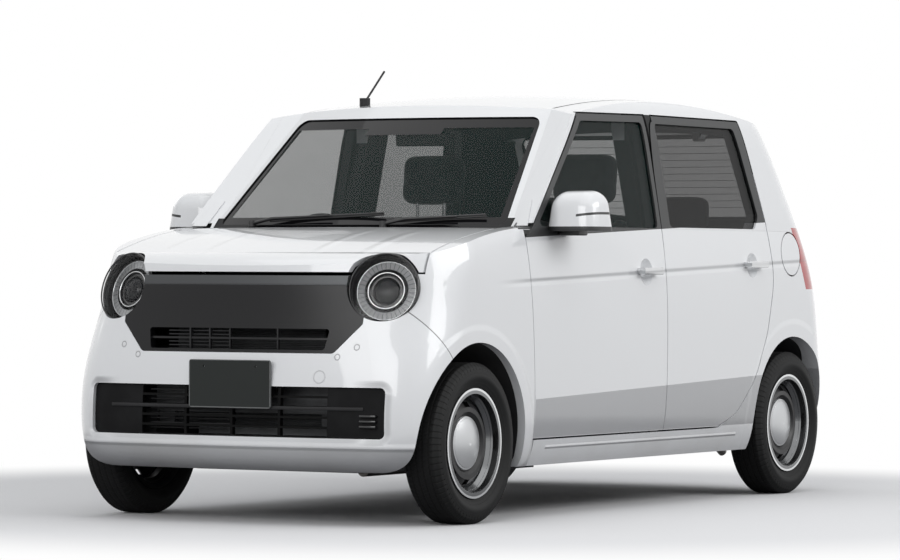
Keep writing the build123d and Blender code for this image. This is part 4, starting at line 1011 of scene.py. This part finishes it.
# ---- Door mirrors
# A domed white cap over a black base and foot, with a dark indicator strip low on the outer face
# and a silvered glass set in the back. Each rides on its door.
MIRROR_LOW, MIRROR_HIGH = Vector((0.684, -0.742, 1.014)), Vector((0.918, -0.560, 1.163))
CAP_ROUND, CAP_HIDDEN = 0.056, 0.05
BASE_TOP_Z, BACK_Y = 1.030, -0.567
STRIP_Z, STRIP_RISE, STRIP_MIDDLE_X, STRIP_HALF_Z = 1.070, 0.12, 0.84, 0.0045
STRIP_FROM_X, STRIP_BACK_Y = 0.830, -0.585

middle = (MIRROR_LOW + MIRROR_HIGH) / 2
whole = MIRROR_HIGH - MIRROR_LOW + Vector((0, 0, CAP_HIDDEN))


def cap_mask(finish):
    """The black base, back and indicator strip of the cap."""
    x, y, z = finish.place()
    strip = abs(z - STRIP_Z - STRIP_RISE * (abs(x) - STRIP_MIDDLE_X)) < STRIP_HALF_Z
    strip = strip * (abs(x) > STRIP_FROM_X) * (y < STRIP_BACK_Y)
    return ((z < BASE_TOP_Z) + (y > BACK_Y) + strip).below(1.0)


cap_finish = enamel("mirror_enamel", None, cap_mask, SATIN_BLACK, 0.4)
cap = shape("cube", middle - Vector((0, 0, CAP_HIDDEN / 2)), whole, size=1)
pick(cap, lambda centre, normal: normal.z > 0.9)
bpy.ops.transform.resize(value=(0.80, 0.80, 1))
close_edit()
pick(cap, lambda centre, normal: normal.y < -0.9)
bpy.ops.transform.resize(value=(0.90, 1, 0.88))
close_edit()
modify(cap, "BEVEL", width=CAP_ROUND, segments=12, limit_method="ANGLE")
trimmer = shape("cube", (middle.x, middle.y, MIRROR_LOW.z + 0.5), size=1)
modify(cap, "BOOLEAN", object=trimmer, operation="INTERSECT")
bpy.data.objects.remove(trimmer)
recess(cap, lambda centre, normal: centre.y > MIRROR_HIGH.y - 0.0005 and normal.y > 0.9, 0.004,
       (0, -0.006, 0))
foot = block((0.7186, -0.655, 0.9985), (0.800, -0.580, 1.028), 0.007, steps=3)
joined([cap, foot])
silvered = Finish("mirror_silver", (0.80, 0.82, 0.83), 0.02, metallic=1.0)
silvered.feed("Roughness", silvered.noise(6.0) * 0.03 + 0.01)
pane = shape("cube", middle + Vector((0, 0.0740, 0)), (0.120, 0.002, 0.060), size=1)
modify(pane, "BEVEL", width=0.0008, segments=2, limit_method="ANGLE")
for piece, name, slot, finish in (
    (cap, "mirror_cap", "paint", cap_finish),
    (pane, "mirror_glass", "metal", silvered),
):
    twin = mirrored(piece)
    for part, side in ((piece, "left"), (twin, "right")):
        fasten(part, f"{name}_{side}", f"front_door_{side}", finish)
        if name == "mirror_cap":
            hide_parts(f"door_mirror_{side}")

# ---- Tail lamps and tailgate fittings
# Tall red lamps of moulded acrylic with a ribbed inner lens and an amber and a clear band. A grip
# over the plate and one short wiper are screwed to the tailgate.
AMBER, CLEAR, BAND_EDGE = (0.55, 0.14, 0.02), (0.62, 0.60, 0.60), (0.12, 0.004, 0.006)
AMBER_Z, CLEAR_Z, EDGES_Z = (0.935, 0.985), (0.885, 0.928), (0.931, 0.882)
INNER_RIB_PITCH = 0.012
REARWARD_X = 0.655
REAR_GLASS_Y, REAR_GLASS_Z, REAR_GLASS_RAKE = 1.550, 1.068, 0.222 / 0.360
REAR_PIVOT = (0.0, 1.572, 1.045)

red = Finish("tail_lens_red", LENS_RED, 0.12, coat_weight=1.0)
x, y, z = red.place()
rearward = abs(x) < REARWARD_X
tone = red.mix(z.between(*AMBER_Z) * rearward, LENS_RED, AMBER)
tone = red.mix(z.between(*CLEAR_Z) * rearward, tone, CLEAR)
edges = sum(red.stripe(z - edge_z, 0.004) for edge_z in EDGES_Z)
red.feed("Base Color", red.mix(edges, tone, BAND_EDGE))
red.relief((z + 3.0).wave(INNER_RIB_PITCH) * 0.0006)
wearing("tail_lamps", red)


def on_rear_glass(x, z, off):
    """A point behind the tailgate glass at a place across and a height."""
    return (x, REAR_GLASS_Y - (z - REAR_GLASS_Z) * REAR_GLASS_RAKE + off, z)


grip = block((-0.30, 1.630, 0.800), (0.30, 1.660, 0.834), 0.010, steps=3)
recess(grip, lambda centre, normal: normal.z < -0.9, 0.008, (0, 0, 0.014))
fasten(grip, "tailgate_grip", "tailgate", bezel_black)
elbow = on_rear_glass(-0.13, 1.085, 0.016)
rear_arm = joined([
    shape("uv_sphere", REAR_PIVOT, (0.028, 0.022, 0.024), segments=24, ring_count=12, radius=1),
    bar(REAR_PIVOT, elbow, 0.009, 0.007),
    bar(elbow, on_rear_glass(-0.30, 1.105, 0.012), 0.007, 0.004),
    bar(on_rear_glass(-0.12, 1.090, 0.009), on_rear_glass(-0.42, 1.120, 0.009), 0.005, 0.004, 6),
])
fasten(rear_arm, "rear_wiper", "tailgate", wiper_black)

# ---- Wheels and tyres
# Pressed steel wheels in black with a polished trim ring and a plain domed cap. The tyres have
# ribbed treads with cut shoulders and fine rings round the wall, with painted shade in the cuts.
WHEEL_BLACK, TRIM_GREY, TRIM_LIP = (0.014, 0.014, 0.015), (0.22, 0.225, 0.23), (0.75, 0.76, 0.77)
CAP_RADIUS, CAP_GROOVE, CAP_FACE_X = 0.0925, 0.0865, 0.6735
TRIM_RADIUS, TRIM_STEP, TRIM_EDGE, TRIM_FACE_X = 0.1535, 0.168, (0.1815, 0.1835), 0.655
TREAD_MIDDLE_X, TREAD_RADIUS, SIPE_RADIUS = 0.6525, 0.262, 0.266
SHOULDER_X, SHOULDER_RADIUS = (0.036, 0.040), (0.2500, 0.2560)
SHOULDER_CUTS, SIPE_CUTS, SIPE_LEAN = 78, 120, 1.2
GROOVES, GROOVE_WIDTH = (0.012, 0.037), 0.0045
WALL_RINGS = ((0.2440, 0.0016), (0.2100, 0.0014), (0.2000, 0.0012))
RUBBER, CUT_PAINTED_SHADE = (0.0065, 0.0068, 0.007), (0.002, 0.002, 0.002)

for end, axle_y in AXLE_Y.items():
    wheel = Finish(f"{end}_wheel_finish", (0.02, 0.02, 0.021), 0.35)
    x, y, z = wheel.place()
    reach = span(y - axle_y, z - AXLE_Z)
    cap_zone = (reach < CAP_RADIUS) * (abs(x) > CAP_FACE_X)
    trim_zone = (reach > TRIM_RADIUS) * (abs(x) > TRIM_FACE_X)
    tone = wheel.mix(trim_zone, WHEEL_BLACK, TRIM_GREY)
    tone = wheel.mix(wheel.ease(reach, *TRIM_EDGE) * trim_zone, tone, TRIM_LIP)
    wheel.feed("Base Color", wheel.mix(cap_zone, tone, BRIGHTWORK))
    wheel.feed("Metallic", trim_zone * 0.95 + cap_zone * 0.6)
    wheel.feed("Roughness", 0.38 - trim_zone * 0.2 - cap_zone * 0.06)
    cap_groove = 0.0015 * wheel.stripe(reach - CAP_GROOVE, 0.0025) * cap_zone
    step = -0.002 * wheel.stripe(reach - TRIM_STEP, 0.003) - cap_groove
    wheel.relief(step + wheel.noise(350.0) * 0.00002)

    tyre = Finish(f"{end}_tyre_rubber", (0.016, 0.0165, 0.017), 0.68, specular_ior_level=0.3)
    x, y, z = tyre.place()
    dy, dz = y - axle_y, z - AXLE_Z
    reach = span(dy, dz)
    angle = dz.bearing(dy)
    off = abs(x) - TREAD_MIDDLE_X
    shoulder = tyre.ease(abs(off), *SHOULDER_X) * tyre.ease(reach, *SHOULDER_RADIUS)
    cuts = tyre.ease(angle.wave(math.tau / SHOULDER_CUTS), 0.70, 0.85) * shoulder
    grooves = sum(tyre.stripe(abs(off) - groove, GROOVE_WIDTH) for groove in GROOVES)
    grooves = grooves * (reach > TREAD_RADIUS)
    sipes = tyre.ease((angle + off * SIPE_LEAN).wave(math.tau / SIPE_CUTS), 0.84, 0.94)
    sipes = sipes * (1 - shoulder) * (reach > SIPE_RADIUS)
    wall = sum(tyre.stripe(reach - radius, half) for radius, half in WALL_RINGS)
    tread = -0.005 * (cuts + grooves).below(1.0) - 0.002 * sipes
    tyre.relief(tread + 0.0011 * wall + tyre.noise(900.0) * 0.00006)
    # Painted shade: the cuts, grooves and sipes are darkened as if in their own shadow.
    cut = (cuts + grooves + sipes * 0.6).below(1.0)
    tyre.feed("Base Color", tyre.mix(cut, RUBBER, CUT_PAINTED_SHADE))
    for side in ("left", "right"):
        wearing(f"wheel_{end}_{side}", wheel)
        wearing(f"tyre_{end}_{side}", tyre)
